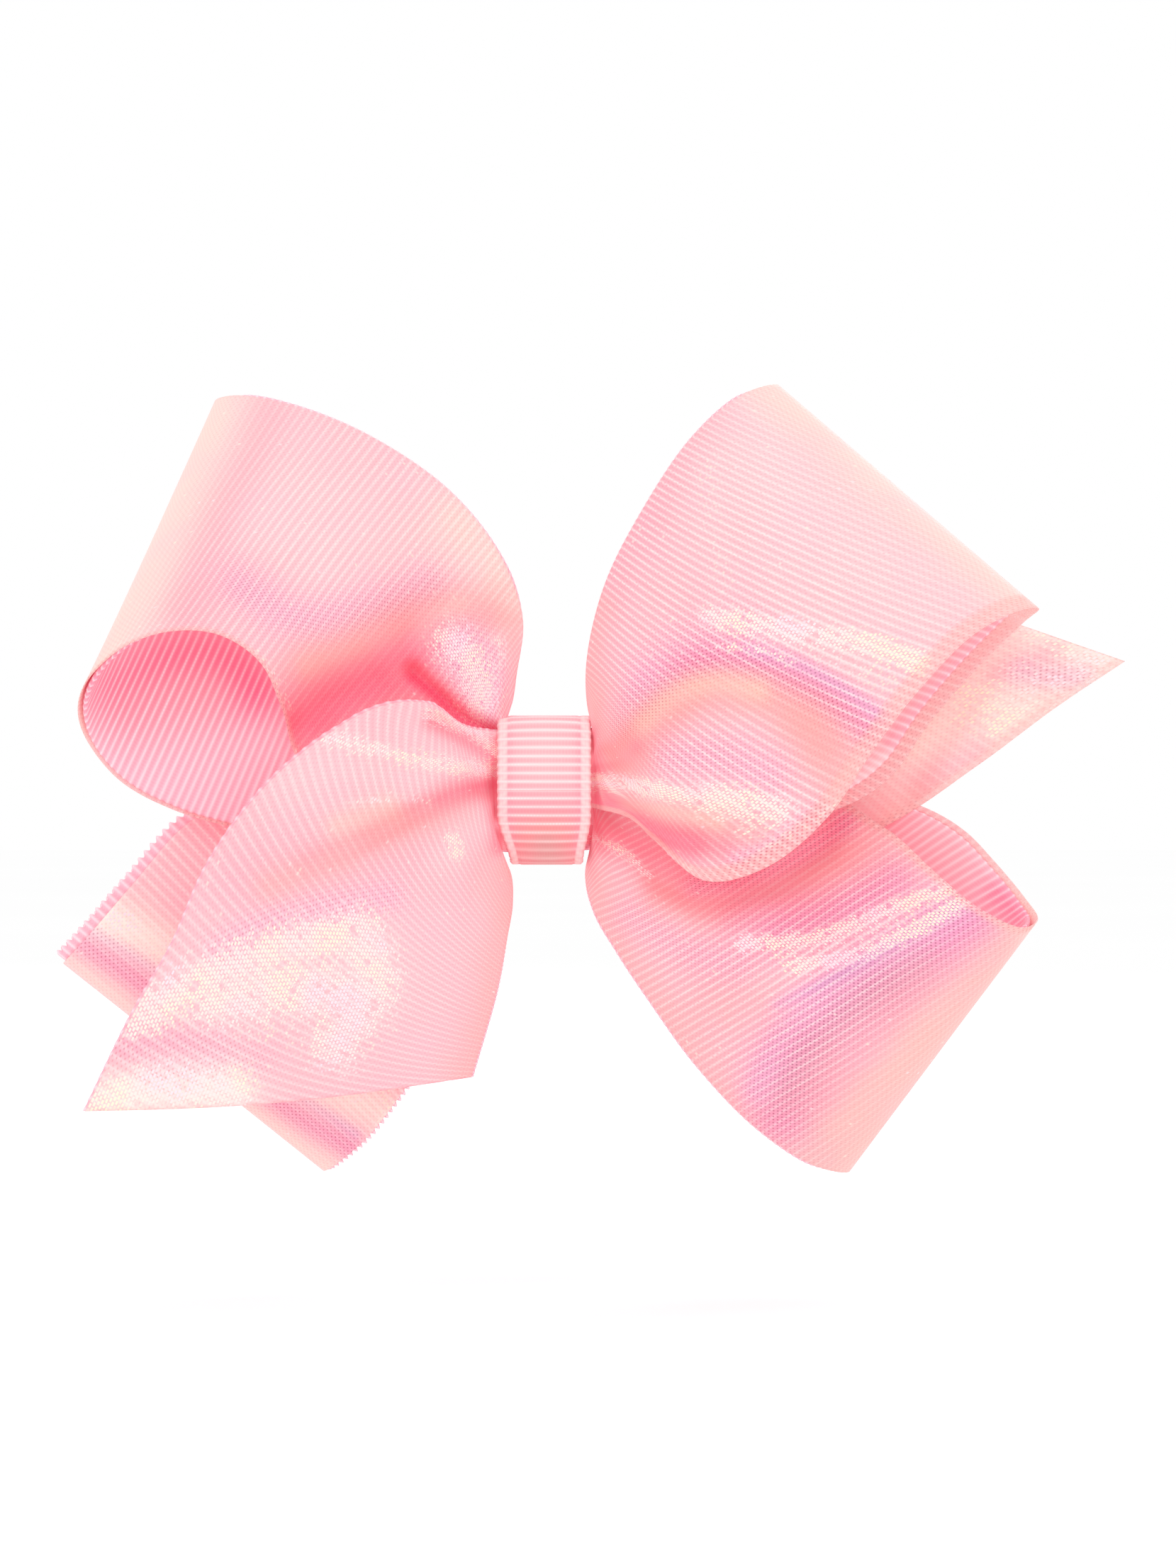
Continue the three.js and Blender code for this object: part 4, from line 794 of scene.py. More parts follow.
def pearl_organza(bow):
    """Sheer nylon organza, woven, with a pearly film pressed on it, over ribbed grosgrain.

    The ribs of the grosgrain show through as pinker lines with pale dashed crests, a painted highlight on
    each rib. The film's own mesh of fine cells is painted cream where the painted glints lie, with a few
    random sparkles, all painted highlight, and shows as small darker dots in the lilac bands of painted
    sheen beside. The film's colour attribute also carries the strokes' painted shade, light and sheen.
    """
    made, tree = new_material("pearl_organza")
    along, across = ribbon_coordinates(tree)
    tint = attribute_of(tree, "tint", 0)
    painted_glint, bare, ribs, dotted = [attribute_of(tree, name) for name in ("painted_glint", "bare", "ribs", "dots")]
    rib = wave(tree, along, bow.rib_pitch / MM)
    uv = node(tree, "ShaderNodeUVMap", {"uv_map": "ribbon_mm"})
    cell = bow.mesh_pitch / MM
    white = (1, 1, 1, 1)
    comb = {
        "Color1": (0, 0, 0, 1), "Color2": white, "Mortar": white, "Scale": 1.0, "Mortar Size": 0.18 * cell,
        "Mortar Smooth": 0.4, "Brick Width": cell, "Row Height": 0.86 * cell,
    }
    chance, joint = node(tree, "ShaderNodeTexBrick", comb, {"Vector": uv}, ("Color", "Fac"))
    cloud = node(tree, "ShaderNodeTexNoise", {"Scale": 0.16, "Detail": 3.0}, {"Vector": uv})
    patch = node(tree, "ShaderNodeTexNoise", {"Scale": 0.75, "Detail": 1.0}, {"Vector": uv})
    streak_map = node(tree, "ShaderNodeMapping", {"Scale": (1.1, 0.10, 1.0)}, {"Vector": uv})
    streak = node(tree, "ShaderNodeTexNoise", {"Scale": 1.0, "Detail": 2.0}, {"Vector": streak_map})
    cells = times(tree, wave(tree, along, cell * 1.4), wave(tree, across, cell * 1.4))

    valley = scaled(tree, rib, -0.5, 0.5)
    shown = times(tree, ribs, plus(tree, streak, 0.3))
    ribbed = times(tree, valley, times(tree, shown, 0.3))
    ribbed = mix_of(tree, ribbed, tint, linear("#f79cb0"), "MULTIPLY")
    # Pale dashed crests on the ribs: a painted highlight.
    ridge = math_of(tree, "POWER", rest_of(tree, valley), 4.0)
    dashed = times(tree, ridge, scaled(tree, chance, 0.6, 0.15))
    ribbed = mix_of(tree, times(tree, dashed, shown), ribbed, linear("#fff0ea"))
    holes = math_of(tree, "POWER", math_of(tree, "MAXIMUM", cells, 0.0), 1.5)
    holes = times(tree, holes, scaled(tree, dotted, 0.9, 0.22))
    meshed = mix_of(tree, holes, ribbed, linear("#ad7c93"), "MULTIPLY")
    drift = math_of(tree, "MAXIMUM", times(tree, plus(tree, cloud, -0.42), 0.5), 0.0)
    shifted = mix_of(tree, drift, meshed, linear(PALETTE["lilac"]))
    gap = clamped(tree, times(tree, plus(tree, patch, -0.63), 16.0))
    # Cream where the painted glints lie, less in random patches, plus rare random sparkles: painted
    # highlights.
    lit = times(tree, painted_glint, rest_of(tree, gap))
    lit = scaled(tree, lit, 1.7, -0.25)
    lit = times(tree, math_of(tree, "SUBTRACT", lit, times(tree, chance, 0.9)), 1.3)
    spark = times(tree, math_of(tree, "GREATER_THAN", chance, 0.9965), 0.5)
    lit = clamped(tree, math_of(tree, "MAXIMUM", lit, spark))
    bright = times(tree, lit, scaled(tree, joint, -0.85, 0.97))
    cream = clamped(tree, times(tree, plus(tree, cloud, -0.35), 3.5))
    gleam = mix_of(tree, cream, linear("#f9e6ee"), linear("#fcf6d8"))
    colour = mix_of(tree, bright, shifted, gleam)
    rough = math_of(tree, "SUBTRACT", 0.46, times(tree, bright, 0.2))
    height = math_of(tree, "ADD", times(tree, rib, 0.7), times(tree, joint, -0.3))
    bump = bump_of(tree, height, 0.00002, 0.3)
    opening = times(tree, bare, scaled(tree, holes, 0.8, 0.3))
    settings = {"Specular IOR Level": 0.28, "Sheen Weight": 0.06, "Sheen Roughness": 0.4, "IOR": 1.5}
    finish_surface(tree, colour, rough, bump, {**settings, **THROUGH_LIGHT_GLOW}, rest_of(tree, opening))
    return made


def grosgrain(name, bow, crest_colour, valley_colour, selvedge=None):
    """Woven polyester grosgrain: thick weft ribs across the ribbon, each wound by fine warp threads.

    The crests are painted pale with a soft thread twist, a painted highlight on each rib, and the valleys
    between are painted a deeper pink, partly the dye and partly painted shade. "selvedge" is how far from
    the ribbon's middle its woven edges start, in mm: there the threads turn back in a pale chain. Where the
    attribute "dim" rises, the painted highlight on the crests fades, a painted shade.
    """
    made, tree = new_material(name)
    along, across = ribbon_coordinates(tree)
    tint = attribute_of(tree, "tint", 0)
    rib = wave(tree, along, bow.rib_pitch / MM)
    warp = wave(tree, across, 0.34)
    uv = node(tree, "ShaderNodeUVMap", {"uv_map": "ribbon_mm"})
    streak_map = node(tree, "ShaderNodeMapping", {"Scale": (1.2, 0.15, 1.0)}, {"Vector": uv})
    streak = node(tree, "ShaderNodeTexNoise", {"Scale": 1.0, "Detail": 3.0}, {"Vector": streak_map})
    valley = scaled(tree, rib, -0.5, 0.5)
    crest = math_of(tree, "POWER", rest_of(tree, valley), 4.0)
    ticks = scaled(tree, warp, 0.2, 0.8)
    body = mix_of(tree, times(tree, valley, 0.32), tint, linear(valley_colour), "MULTIPLY")
    # The pale crests: a painted highlight, faded where "dim" paints shade.
    lit = times(tree, times(tree, crest, ticks), plus(tree, streak, 0.25))
    lit = times(tree, lit, rest_of(tree, attribute_of(tree, "dim")))
    body = mix_of(tree, lit, body, linear(crest_colour))
    if selvedge is not None:
        off_middle = math_of(tree, "ABSOLUTE", across)
        edge = clamped(tree, times(tree, plus(tree, off_middle, -selvedge), 5.0))
        slanted = math_of(tree, "ADD", along, times(tree, off_middle, 0.3))
        shine = scaled(tree, wave(tree, slanted, bow.rib_pitch / MM), 0.16, 0.5)
        body = mix_of(tree, times(tree, edge, shine), body, linear("#fdeae4"))
    twist = times(tree, scaled(tree, warp, 0.5, 0.5), 0.12)
    body = mix_of(tree, twist, body, linear("#f7a9bd"), "MULTIPLY")
    height = math_of(tree, "ADD", rib, times(tree, warp, 0.18))
    bump = bump_of(tree, height, 0.00003, 0.5)
    rough = scaled(tree, valley, 0.18, 0.58)
    settings = {"Specular IOR Level": 0.28, "Sheen Weight": 0.1, "Sheen Roughness": 0.5, "IOR": 1.5}
    finish_surface(tree, body, rough, bump, {**settings, **THROUGH_LIGHT_GLOW})
    return made


def thread_material():
    """Spun polyester sewing thread: two plies twisted, matt with a faint lustre on each turn."""
    made, tree = new_material("spun_thread")
    place = node(tree, "ShaderNodeTexCoord", None, None, 3)
    turns = {"Scale": 900.0, "Distortion": 1.5, "bands_direction": "DIAGONAL"}
    plies = node(tree, "ShaderNodeTexWave", turns, {"Vector": place})
    tone = mix_of(tree, plies, linear("#ec8ea6"), linear("#f9c3ce"))
    fuzz = node(tree, "ShaderNodeTexNoise", {"Scale": 4000.0}, {"Vector": place})
    rough = scaled(tree, fuzz, 0.2, 0.6)
    finish_surface(tree, tone, rough, bump_of(tree, plies, 0.0001, 0.6), {"Sheen Weight": 0.3})
    return made


def hot_glue():
    """Hot-melt glue: milky, faintly yellow, smooth where it cooled, with small bubbles."""
    made, tree = new_material("hot_melt_glue")
    place = node(tree, "ShaderNodeTexCoord", None, None, 3)
    cloud = node(tree, "ShaderNodeTexNoise", {"Scale": 500.0, "Detail": 3.0}, {"Vector": place})
    tone = mix_of(tree, cloud, linear("#e6dcc4"), linear("#f6efde"))
    bubble = node(tree, "ShaderNodeTexVoronoi", {"Scale": 1500.0}, {"Vector": place})
    rough = scaled(tree, cloud, 0.2, 0.22)
    finish_surface(tree, tone, rough, bump_of(tree, bubble, 0.0001, 0.4), {"IOR": 1.48})
    return made


def plated_steel(name, tone, polish):
    """Nickel-plated spring steel, stamped and barrel polished: bright, with a fine grain along the strip."""
    made, tree = new_material(name)
    place = node(tree, "ShaderNodeTexCoord", None, None, 3)
    stretched = node(tree, "ShaderNodeMapping", {"Scale": (300.0, 4000.0, 4000.0)}, {"Vector": place})
    grain = node(tree, "ShaderNodeTexNoise", {"Scale": 1.0, "Detail": 4.0}, {"Vector": stretched})
    stain = node(tree, "ShaderNodeTexNoise", {"Scale": 220.0, "Detail": 3.0}, {"Vector": place})
    shade = mix_of(tree, stain, linear(tone), linear("#d2d3d3"))
    rough = scaled(tree, grain, 0.14, polish)
    finish_surface(tree, shade, rough, bump_of(tree, grain, 0.00002, 0.35), {"Metallic": 1.0})
    return made


# ---- pieces --------------------------------------------------------------------------------------
def ribbon_piece(key, run, sheer, bow, finish):
    """One ribbon of a run, grosgrain or sheer: a closed sheet with its colour, painted shade, painted light
    and painted glints on its points.

    The ribs lie at whole pitches of the distance along the ribbon, to which "tilt" adds its share of the
    distance off the middle line, one way on the front layer and the other way on the back.
    """
    name = f"{key}_{'sheer' if sheer else 'grosgrain'}"
    loop = "folds" in run
    width = bow.ribbon_width / MM
    lead = run["lead"] / width
    if sheer:
        per_mm, columns = SHEER_ROWS, SHEER_COLUMNS
        offset, thickness = 0, bow.sheer_thickness / MM
    else:
        per_mm, columns = GROSGRAIN_ROWS, GROSGRAIN_COLUMNS
        offset, thickness = -SHEER_OFFSET, bow.grosgrain_thickness / MM
    rows = int(run["length"] * per_mm)
    v = np.linspace(0, min(1 + lead, 1) if sheer else min(1 - lead, 1), columns)
    middle, ribbon, layer, from_wrap = run_surface(run, rows, v)
    layer = np.broadcast_to(layer, middle.shape[:2])
    from_wrap = np.broadcast_to(from_wrap, middle.shape[:2])
    middle, ribbon = tuck_in(middle, ribbon, loop, run["side"])
    added = len(TUCK_STEPS)
    pad = ((added, added if loop else 0), (0, 0))
    layer = np.pad(layer, pad, mode="edge")
    from_wrap = np.pad(from_wrap, pad, mode="edge")
    normal, flipped = outward_normals(middle, from_wrap, layer)
    across = np.broadcast_to(v * width, middle.shape[:2])
    reach = smooth(from_wrap / TILT_EASE)
    along = ribbon[:, None] + run.get("tilt", 0) * width * (v - 0.5)[None, :] * reach * (1 - 2 * layer)
    if not sheer:
        rib = np.cos(TAU * along / (bow.rib_pitch / MM))
        picot = run.get("picot", PICOT)
        thickness = thickness * (1 + (RIB_SWELL + picot / 2) * rib)[..., None]
        nub = picot * rib[..., None]
        middle = middle.copy()
        middle[:, :1] += unit(middle[:, :1] - middle[:, 1:2]) * nub[:, :1]
        middle[:, -1:] += unit(middle[:, -1:] - middle[:, -2:-1]) * nub[:, -1:]
    x, z = middle[..., 0], middle[..., 2]
    front = 1 - layer
    if sheer:
        # The film's colour with its painted shade, painted light and painted sheen from the strokes.
        tint = painted("baby", run["strokes"], x, z, front)
        # On the back layer only the beige strokes: painted sheen where the film turns at the folds.
        back_strokes = [s for s in run["strokes"] if s[0] == "beige"]
        tint = tint * front[..., None] + painted("baby", back_strokes, x, z, layer) * layer[..., None]
        # Painted highlights where the film glitters.
        painted_glint = np.zeros(x.shape)
        for stroke_width, strength, line in run["painted_glint"]:
            near, _ = nearness(line, stroke_width, x, z)
            painted_glint = np.maximum(painted_glint, strength * near * front)
        bare = smooth((across - min(1 - lead, 1) * width) / BARE_EASE)
        tint += (np.array(linear(PALETTE["beige"])[:3]) - tint) * BARE_TINT * bare[..., None]
        ribs = np.full(x.shape, run.get("ribs", 1.0))
        if loop:
            fold_length = ribbon[len(ribbon) // 2]
            ribs -= FOLD_FADE * np.exp(-(((ribbon[:, None] - fold_length) / FOLD_GLOSS) ** 2))
        dots = np.zeros(x.shape)
        for colour, stroke_width, strength, line in run["strokes"]:
            near, _ = nearness(line, stroke_width, x, z)
            if colour in DOTTED_TINTS:
                dots = np.maximum(dots, strength * near * front)
            elif colour in SHADE_TINTS:
                ribs *= 1 - STROKE_FADE * strength * near * front
        values = {"painted_glint": painted_glint, "bare": bare, "ribs": ribs, "dots": dots}
    else:
        # The grosgrain's colour, with painted shade and painted light inside the loops.
        tint = painted("grosgrain", run.get("inside", []), x, z, 1.0)
        values = {}
    ring, faces, column = sheet_mesh(middle, normal, offset, thickness, flipped)
    uv = np.stack([along, across], -1)[:, column]
    obj = build_object(
        name + "_ribbon", ring, faces, uv, {"tint": tint[:, column]},
        {k: value[:, column] for k, value in values.items()},
    )
    obj.data.materials.append(finish)
    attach(obj, "bow")
    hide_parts(name)
    return obj


def wrap_outline(low, high, inset):
    """Closed outline of the wrap in (Y, Z), mm: barrelled in front, and drawn in behind round the clip."""
    front, back = low.y / MM + inset, high.y / MM - inset
    tall = high.z / MM - inset
    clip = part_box("clip_front_jaw")[1].z / MM + 0.8 - inset
    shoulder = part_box("glue_pad")[0].y / MM + 0.3
    half = [
        (front, 0), (front + 0.05, tall * 0.35), (front + 0.35, tall * 0.68), (front + 1.3, tall * 0.93),
        (front + 3.2, tall), (front + 5.6, tall * 0.95), (shoulder - 0.5, tall * 0.78),
        (shoulder + 0.4, clip + 0.3), (shoulder + 1.2, clip), (back - 0.5, clip), (back, clip - 0.6),
    ]
    points = half + [(back, 0)] + [(y, -z) for y, z in half[:0:-1]]
    closed = points[-2:] + points + points[:3]
    table, lengths, knots = curve_table(closed, 30)
    start, end = knots[2], knots[2 + len(points)]
    return table, lengths, start, end


def wrap_piece(bow, finish):
    """The centre wrap: a closed band of narrow grosgrain carried round the wrap outline.

    Its section is a flat ring across X: out along the outer side and back along the inner one. The outer
    side is raised by a cosine of the distance round the band, the ribs, and by a parabola across it. In the
    two woven edges the cosine lags, and past them small nubs stand out. At the foot the band narrows a
    little, and "dim" takes the painted highlight off its ribs, a painted shade. Its colour is painted pale
    down the middle and darker towards the foot, painted shade where the band turns under.
    """
    low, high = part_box("centre_wrap")
    table, lengths, start, end = wrap_outline(low, high, WRAP_INSET)
    pitch = bow.rib_pitch / MM
    round_length = end - start
    ribs = round(round_length / pitch)
    rows, columns = ribs * WRAP_ROWS_PER_RIB, WRAP_COLUMNS
    distance = start + round_length * np.arange(rows) / rows
    path = np.stack([np.interp(distance, lengths, table[:, k]) for k in range(2)], -1)
    step = unit(np.roll(path, -1, 0) - np.roll(path, 1, 0))
    out = np.stack([-step[:, 1], step[:, 0]], -1)
    if out[0, 0] > 0:
        out = -out
    half = (high.x - low.x) / 2 / MM
    share = np.linspace(-1, 1, columns)
    turn = TAU * ribs * np.arange(rows) / rows
    past = np.abs(share) - SELVEDGE_SHARE
    edge = np.clip(past / SELVEDGE_EASE, 0, 1)
    lagging = SELVEDGE_RIB * np.cos(turn[:, None] + SELVEDGE_TURN)
    rib = np.cos(turn)[:, None] * (1 - edge)[None, :] + lagging * edge[None, :]
    groove = -GROOVE_DEPTH * np.exp(-((past / GROOVE_SHARE) ** 2))
    z = path[:, 1]
    front = np.where(out[:, 0] < 0, -out[:, 0], 0)
    foot = smooth((-z - FOOT_TOP) / FOOT_HEIGHT)
    narrow = 1 - FOOT_NARROWING * foot
    shift = FOOT_SHIFT * foot
    crown = WRAP_CROWN * (1 - share**2)[None, :] * front[:, None]
    thickness = bow.grosgrain_thickness / MM
    lift = thickness / 2 + RIB_HEIGHT * rib + groove[None, :] + crown
    drop = -thickness / 2 + crown
    nub = WRAP_NUB * np.cos(turn + NUB_TURN)
    across = share[None, :] * (half - WRAP_SIDE_INSET) * narrow[:, None] + shift[:, None]
    across[:, 0] -= nub
    across[:, -1] += nub

    def placed(height, x):
        return np.stack([x, path[:, :1] + out[:, :1] * height, path[:, 1:] + out[:, 1:] * height], -1)

    outer, inner = placed(lift, across), placed(drop, across)
    middle = (outer + inner) / 2
    bulge = np.array([thickness / 2, 0, 0])
    ring = np.concatenate([outer, middle[:, -1:] + bulge, inner[:, ::-1], middle[:, :1] - bulge], axis=1)
    quads = tube_quads(rows, ring.shape[1], True)
    column = np.concatenate([np.arange(columns), [columns - 1], np.arange(columns)[::-1], [0]])
    along = np.broadcast_to((turn / TAU * pitch)[:, None], ring.shape[:2])
    uv = np.stack([along, np.broadcast_to((share * half)[column], ring.shape[:2])], -1)
    gx, gz = ring[..., 0], ring[..., 2]
    # Painted light down the middle, then painted shade in rose, salmon, coral and taupe towards the foot
    # where the band turns under, and a darker rose line near each woven edge.
    tint = painted("baby", [
        ("pale", 4, 1.0, [(0, 5.5), (0.1, -1.5)]),
        ("rose", 2.6, 0.8, [(-4, -3), (0, -2.8), (4, -3)]),
        ("salmon", 2.6, 0.95, [(-4, -5.4), (0, -4.9), (4, -5.4)]),
        ("coral", 2.4, 0.75, [(-4.4, -6.4), (0, -7.0), (4.4, -6.4)]),
        ("taupe", 2.4, 0.55, [(-4, -6.9), (4, -6.9)]),
        ("taupe", 2.0, 0.85, [(0.2, -5.6), (0.5, -7.6)]),
        ("rose", 0.7, 0.5, [(-3.9, 6), (-4.0, 0), (-3.6, -6)]),
        ("rose", 0.7, 0.5, [(3.9, 6), (4.0, 0), (3.6, -6)]),
    ], gx, gz, 1.0)
    probe = np.cross(ring[1, 5] - ring[0, 5], ring[0, 6] - ring[0, 5])
    if probe @ np.array([0, out[0, 0], out[0, 1]]) < 0:
        quads = quads[:, ::-1]
    # Painted shade: the highlight on the ribs falls off towards the foot.
    dim = DIM * smooth((-gz - DIM_TOP) / DIM_HEIGHT)
    obj = build_object("centre_wrap_ribbon", ring, [quads], uv, {"tint": tint}, {"dim": dim})
    obj.data.materials.append(finish)
    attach(obj, "bow")
    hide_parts("centre_wrap")
    return obj


def gathers_piece(finish):
    """The gathered middle: a closed drum along X, its rounded section drawn into pleats by two cosines."""
    low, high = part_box("gathered_centre")
    rows, columns = GATHER_ROWS, GATHER_COLUMNS
    reach = (high.x - low.x) / 2 / MM - GATHER_END_INSET
    x = np.linspace(-reach, reach, rows)
    angle = TAU * np.arange(columns) / columns
    pleats = sum(depth * np.cos(count * angle) for depth, count in GATHER_PLEATS)
    wy, wz = ((high[k] - low[k]) / 2 / MM - GATHER_INSET for k in (1, 2))
    ring_y = np.sign(np.cos(angle)) * np.abs(np.cos(angle)) ** GATHER_SQUARENESS * (wy + pleats)
    ring_z = np.sign(np.sin(angle)) * np.abs(np.sin(angle)) ** GATHER_SQUARENESS * (wz + pleats)
    waist = 1 - WAIST_DEPTH * np.exp(-((x / WAIST_WIDTH) ** 2))
    centre_y = (low.y + high.y) / 2 / MM
    grid = np.stack([
        np.broadcast_to(x[:, None], (rows, columns)),
        centre_y + waist[:, None] * ring_y[None, :],
        waist[:, None] * ring_z[None, :],
    ], -1)
    quads = tube_quads(rows, columns)[:, [0, 3, 2, 1]]
    ends = np.array([[-reach, centre_y, 0], [reach, centre_y, 0]])
    points = np.concatenate([grid.reshape(-1, 3), ends])
    j = np.arange(columns)
    k = (j + 1) % columns
    first = np.stack([np.full(columns, rows * columns), k, j], -1)
    end = (rows - 1) * columns
    last = np.stack([np.full(columns, rows * columns + 1), end + j, end + k], -1)
    uv = np.stack([points[:, 0], points[:, 2]], -1)
    tint = painted("rose", [], points[:, 0], points[:, 2], 1.0)
    obj = build_object("gathered_centre_ribbon", points, [quads, first, last], uv, {"tint": tint}, {})
    obj.data.materials.append(finish)
    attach(obj, "bow")
    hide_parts("gathered_centre")
    return obj


def lining_piece(bow, finish):
    """The clip's lining: a flat strip of narrow grosgrain with a round tip, ribbed by a cosine along X."""
    low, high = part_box("clip_lining")
    half = (high.z - low.z) / 2 / MM
    x0, x1 = low.x / MM, high.x / MM
    pitch = bow.rib_pitch / MM
    rows, columns = int((x1 - x0) / pitch * 8), 24
    x = np.linspace(x0, x1, rows)
    round_part = np.clip((x - (x1 - half)) / half, 0, 0.999)
    reach = half * np.sqrt(1 - round_part**2)
    share = np.linspace(-1, 1, columns)
    middle = np.stack([
        np.broadcast_to(x[:, None], (rows, columns)),
        np.full((rows, columns), (low.y + high.y) / 2 / MM),
        reach[:, None] * share[None, :],
    ], -1)
    normal = np.zeros_like(middle)
    normal[..., 1] = -1
    rib = np.cos(TAU * x / pitch)[:, None, None]
    thickness = (high.y - low.y) / MM * (0.8 + 0.15 * rib)
    probe = np.cross(middle[1, 0] - middle[0, 0], middle[0, 1] - middle[0, 0])
    ring, faces, _ = sheet_mesh(middle, normal, 0, thickness, probe[1] > 0)
    uv = np.stack([ring[..., 0], ring[..., 2]], -1)
    tint = painted("grosgrain", [], ring[..., 0], ring[..., 2], 1.0)
    obj = build_object("clip_lining_ribbon", ring, faces, uv, {"tint": tint}, {})
    obj.data.materials.append(finish)
    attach(obj, "bow")
    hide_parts("clip_lining")
    return obj


def spring_piece(finish):
    """The clip's torsion spring: wire carried along a coil about the hinge, with a straight leg each end."""
    low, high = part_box("clip_pivot_pin")
    centre = np.array([(low.x + high.x) / 2, (low.y + high.y) / 2, 0]) / MM
    wire, turns, radius, leg, rise = 0.25, 4, 1.15, 3.4, 2.6
    steps, sides = 480, 12
    t = np.linspace(0, 1, steps)
    angle = -math.pi / 2 + (TAU * turns + math.pi) * t
    coil = np.stack([radius * np.cos(angle), radius * np.sin(angle), (t - 0.5) * rise], -1)
    reach = np.linspace(0, leg, 24)[1:, None]
    ends = [np.stack([-np.sin(angle[k]), np.cos(angle[k]), 0 * angle[k]]) for k in (0, -1)]
    path = np.concatenate([coil[0] - ends[0] * reach[::-1], coil, coil[-1] + ends[1] * reach]) + centre
    forward = unit(np.gradient(path, axis=0))
    side = unit(np.cross(forward, np.array([0, 0, 1.0])))
    other = np.cross(side, forward)
    turn = TAU * np.arange(sides) / sides
    circle = side[:, None] * np.cos(turn)[None, :, None] + other[:, None] * np.sin(turn)[None, :, None]
    ring = path[:, None] + wire * circle
    rows = len(path)
    quads = tube_quads(rows, sides)[:, [0, 3, 2, 1]]
    caps = [np.arange(sides)[None, ::-1], (rows - 1) * sides + np.arange(sides)[None, :]]
    probe = np.cross(ring[0, 1] - ring[0, 0], ring[1, 0] - ring[0, 0])
    if probe @ (ring[0, 0] - path[0]) < 0:
        quads, caps = quads[:, ::-1], [c[:, ::-1] for c in caps]
    uv = np.stack([ring[..., 0], ring[..., 2]], -1)
    obj = build_object("clip_spring_wire", ring, [quads, *caps], uv, {}, {})
    obj.data.materials.append(finish)
    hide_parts("clip_spring")
    middle, reach = centre * MM, np.array([0, 0.0011, 0])
    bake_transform(obj)
    return obj


def finish_clip(steel, glue, thread):
    """Gives the clip's own parts, the glue and the thread their finishes, and eases the stamped edges."""
    for name, made in (
        ("clip_front_jaw", steel), ("clip_rear_jaw", steel), ("clip_pivot_pin", steel), ("glue_pad", glue),
        ("binding_thread", thread),
    ):
        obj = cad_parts[name]
        obj.data.materials.clear()
        obj.data.materials.append(made)
        weld = obj.modifiers.new("weld", "WELD")
        weld.merge_threshold = 0.000002
        if name != "binding_thread":
            ease = obj.modifiers.new("ease", "BEVEL")
            ease.width = 0.00008
            ease.segments = 2
            ease.limit_method = "ANGLE"
            ease.angle_limit = math.radians(35)
            ease.harden_normals = True


# ---- the stage -----------------------------------------------------------------------------------
def stage_material():
    """Matt white paper, barely mottled."""
    made, tree = new_material("white_paper")
    place = node(tree, "ShaderNodeTexCoord", None, None, 3)
    mottle = node(tree, "ShaderNodeTexNoise", {"Scale": 3.0}, {"Vector": place})
    tone = mix_of(tree, mottle, linear("#fdfdfd"), linear("#ffffff"))
    rough = scaled(tree, mottle, 0.05, 0.9)
    finish_surface(tree, tone, rough, bump_of(tree, mottle, 0.0001, 0.02), {"Specular IOR Level": 0.0})
    return made


def area_light(name, place, target, size, power):
    """A square soft box at a place, turned to a target, in metres and watts."""
    data = bpy.data.lights.new(name, "AREA")
    data.size = size
    data.energy = power
    lamp = bpy.data.objects.new(name, data)
    lamp.location = place
    direction = Vector(target) - Vector(place)
    lamp.rotation_euler = direction.to_track_quat("-Z", "Y").to_euler()
    bpy.context.scene.collection.objects.link(lamp)
    return lamp


# ---- settings ------------------------------------------------------------------------------------
class HairBowSettings(bpy.types.PropertyGroup):
    """Sizes of the ribbons and the camera."""

    ribbon_width: bpy.props.FloatProperty(
        name="Ribbon width", description="Width of the main ribbon", default=0.038, unit="LENGTH",
        subtype="DISTANCE",
    )
    grosgrain_thickness: bpy.props.FloatProperty(
        name="Grosgrain thickness", description="Thickness of the grosgrain", default=0.0005, unit="LENGTH",
        subtype="DISTANCE", precision=5,
    )
    sheer_thickness: bpy.props.FloatProperty(
        name="Sheer thickness", description="Thickness of the sheer ribbon", default=0.00012, unit="LENGTH",
        subtype="DISTANCE", precision=5,
    )
    rib_pitch: bpy.props.FloatProperty(
        name="Rib pitch", description="Distance from one grosgrain rib to the next", default=0.00086,
        unit="LENGTH", subtype="DISTANCE", precision=5,
    )
    mesh_pitch: bpy.props.FloatProperty(
        name="Mesh pitch", description="Width of one cell of the pearly film", default=0.00042,
        unit="LENGTH", subtype="DISTANCE", precision=5,
    )
    camera_distance: bpy.props.FloatProperty(
        name="Camera distance", description="From the camera to the front of the bow", default=0.9,
        unit="LENGTH", subtype="DISTANCE",
    )


# ---- operators -----------------------------------------------------------------------------------
class HAIRBOW_OT_ribbons(bpy.types.Operator):
    """Build the four loops and two tails, each of grosgrain under sheer pearly ribbon"""

    bl_idname = "hairbow.ribbons"
    bl_label = "Loops and tails"

    def execute(self, context):
        bow = context.scene.hair_bow
        film = pearl_organza(bow)
        plain = grosgrain("pink_grosgrain", bow, "#ffe9ee", "#fb9ab6")
        for key, run in RUNS.items():
            ribbon_piece(key, run, False, bow, plain)
            ribbon_piece(key, run, True, bow, film)
        return {"FINISHED"}


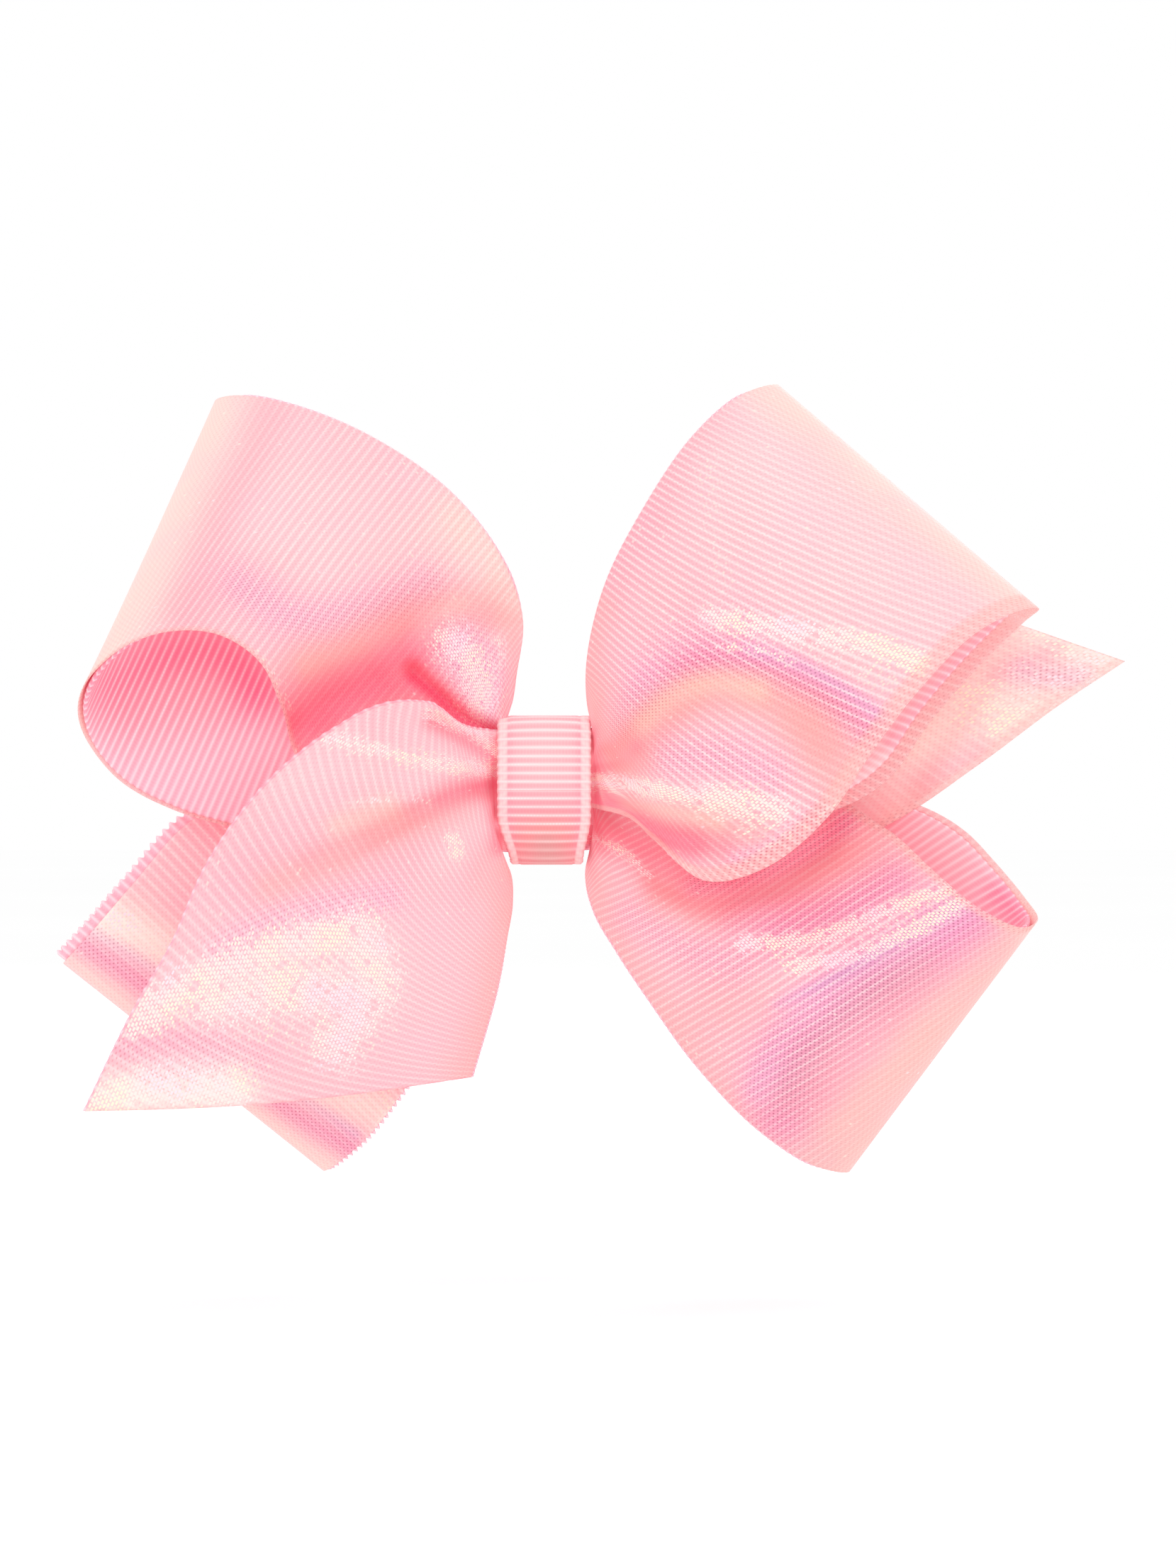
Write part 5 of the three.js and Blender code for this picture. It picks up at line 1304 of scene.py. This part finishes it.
class HAIRBOW_OT_middle(bpy.types.Operator):
    """Build the gathered middle and the narrow grosgrain wrap round it"""

    bl_idname = "hairbow.middle"
    bl_label = "Wrap and gathers"

    def execute(self, context):
        bow = context.scene.hair_bow
        wrap_piece(bow, grosgrain("wrap_grosgrain", bow, "#fff4f0", "#f19fae", CHAIN_START))
        gathers_piece(grosgrain("gathered_grosgrain", bow, "#fbc3cf", "#f28fa8"))
        return {"FINISHED"}


class HAIRBOW_OT_clip(bpy.types.Operator):
    """Build the clip's lining and spring, and give the clip, the glue and the thread their finishes"""

    bl_idname = "hairbow.clip"
    bl_label = "Hair clip"

    def execute(self, context):
        bow = context.scene.hair_bow
        lining_piece(bow, grosgrain("lining_grosgrain", bow, "#ffe9ee", "#fb9ab6"))
        spring_piece(plated_steel("spring_wire", "#94979d", 0.16))
        finish_clip(plated_steel("nickel_plated_steel", "#a6a9af", 0.2), hot_glue(), thread_material())
        return {"FINISHED"}


class HAIRBOW_OT_stage(bpy.types.Operator):
    """Set up the white floor, the soft lights and the camera square on to the bow"""

    bl_idname = "hairbow.stage"
    bl_label = "Stage"

    def execute(self, context):
        scene = context.scene
        low, high = cad_low, cad_high
        floor_z, reach = low.z - FLOOR_DROP, FLOOR_REACH
        mesh = bpy.data.meshes.new("floor")
        corners = [(x * reach, y * reach, floor_z) for x, y in ((-1, -1), (1, -1), (1, 1), (-1, 1))]
        mesh.from_pydata(corners, [], [(0, 1, 2, 3)])
        floor = bpy.data.objects.new("floor", mesh)
        mesh.materials.append(stage_material())
        scene.collection.objects.link(floor)

        world = bpy.data.worlds.new("studio")
        world.use_nodes = True
        background = world.node_tree.nodes["Background"]
        background.inputs["Color"].default_value = (1, 1, 1, 1)
        background.inputs["Strength"].default_value = 1.0
        scene.world = world
        centre = (low + high) / 2
        for name, (place, size, power) in LIGHTS.items():
            area_light(name, place, centre, size, power)

        distance = scene.hair_bow.camera_distance
        data = bpy.data.cameras.new("camera")
        data.type = "PERSP"
        data.sensor_fit = "AUTO"
        data.sensor_width = 36
        data.lens = data.sensor_width * distance / FRAME_HEIGHT
        data.clip_start, data.clip_end = 0.01, 50
        camera = bpy.data.objects.new("camera", data)
        camera.location = (AIM_X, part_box("centre_wrap")[0].y - distance, AIM_Z)
        camera.rotation_euler = (math.pi / 2, 0, 0)
        scene.collection.objects.link(camera)
        scene.camera = camera
        scene.view_settings.view_transform = "Standard"
        return {"FINISHED"}


class HAIRBOW_PT_panel(bpy.types.Panel):
    """Lists the bow's settings and its operators"""

    bl_idname = "HAIRBOW_PT_panel"
    bl_label = "Hair bow"
    bl_space_type = "VIEW_3D"
    bl_region_type = "UI"
    bl_category = "Hair bow"

    def draw(self, context):
        layout = self.layout
        for name in HairBowSettings.__annotations__:
            layout.prop(context.scene.hair_bow, name)
        for operator in OPERATORS:
            layout.operator(operator.bl_idname)


OPERATORS = (HAIRBOW_OT_ribbons, HAIRBOW_OT_middle, HAIRBOW_OT_clip, HAIRBOW_OT_stage)
CLASSES = (HairBowSettings, *OPERATORS, HAIRBOW_PT_panel)


def register():
    for made in CLASSES:
        bpy.utils.register_class(made)
    bpy.types.Scene.hair_bow = bpy.props.PointerProperty(type=HairBowSettings)


def unregister():
    del bpy.types.Scene.hair_bow
    for made in reversed(CLASSES):
        bpy.utils.unregister_class(made)


def main():
    register()
    bpy.ops.hairbow.ribbons()
    bpy.ops.hairbow.middle()
    bpy.ops.hairbow.clip()
    bpy.ops.hairbow.stage()


if __name__ == "__main__":
    main()
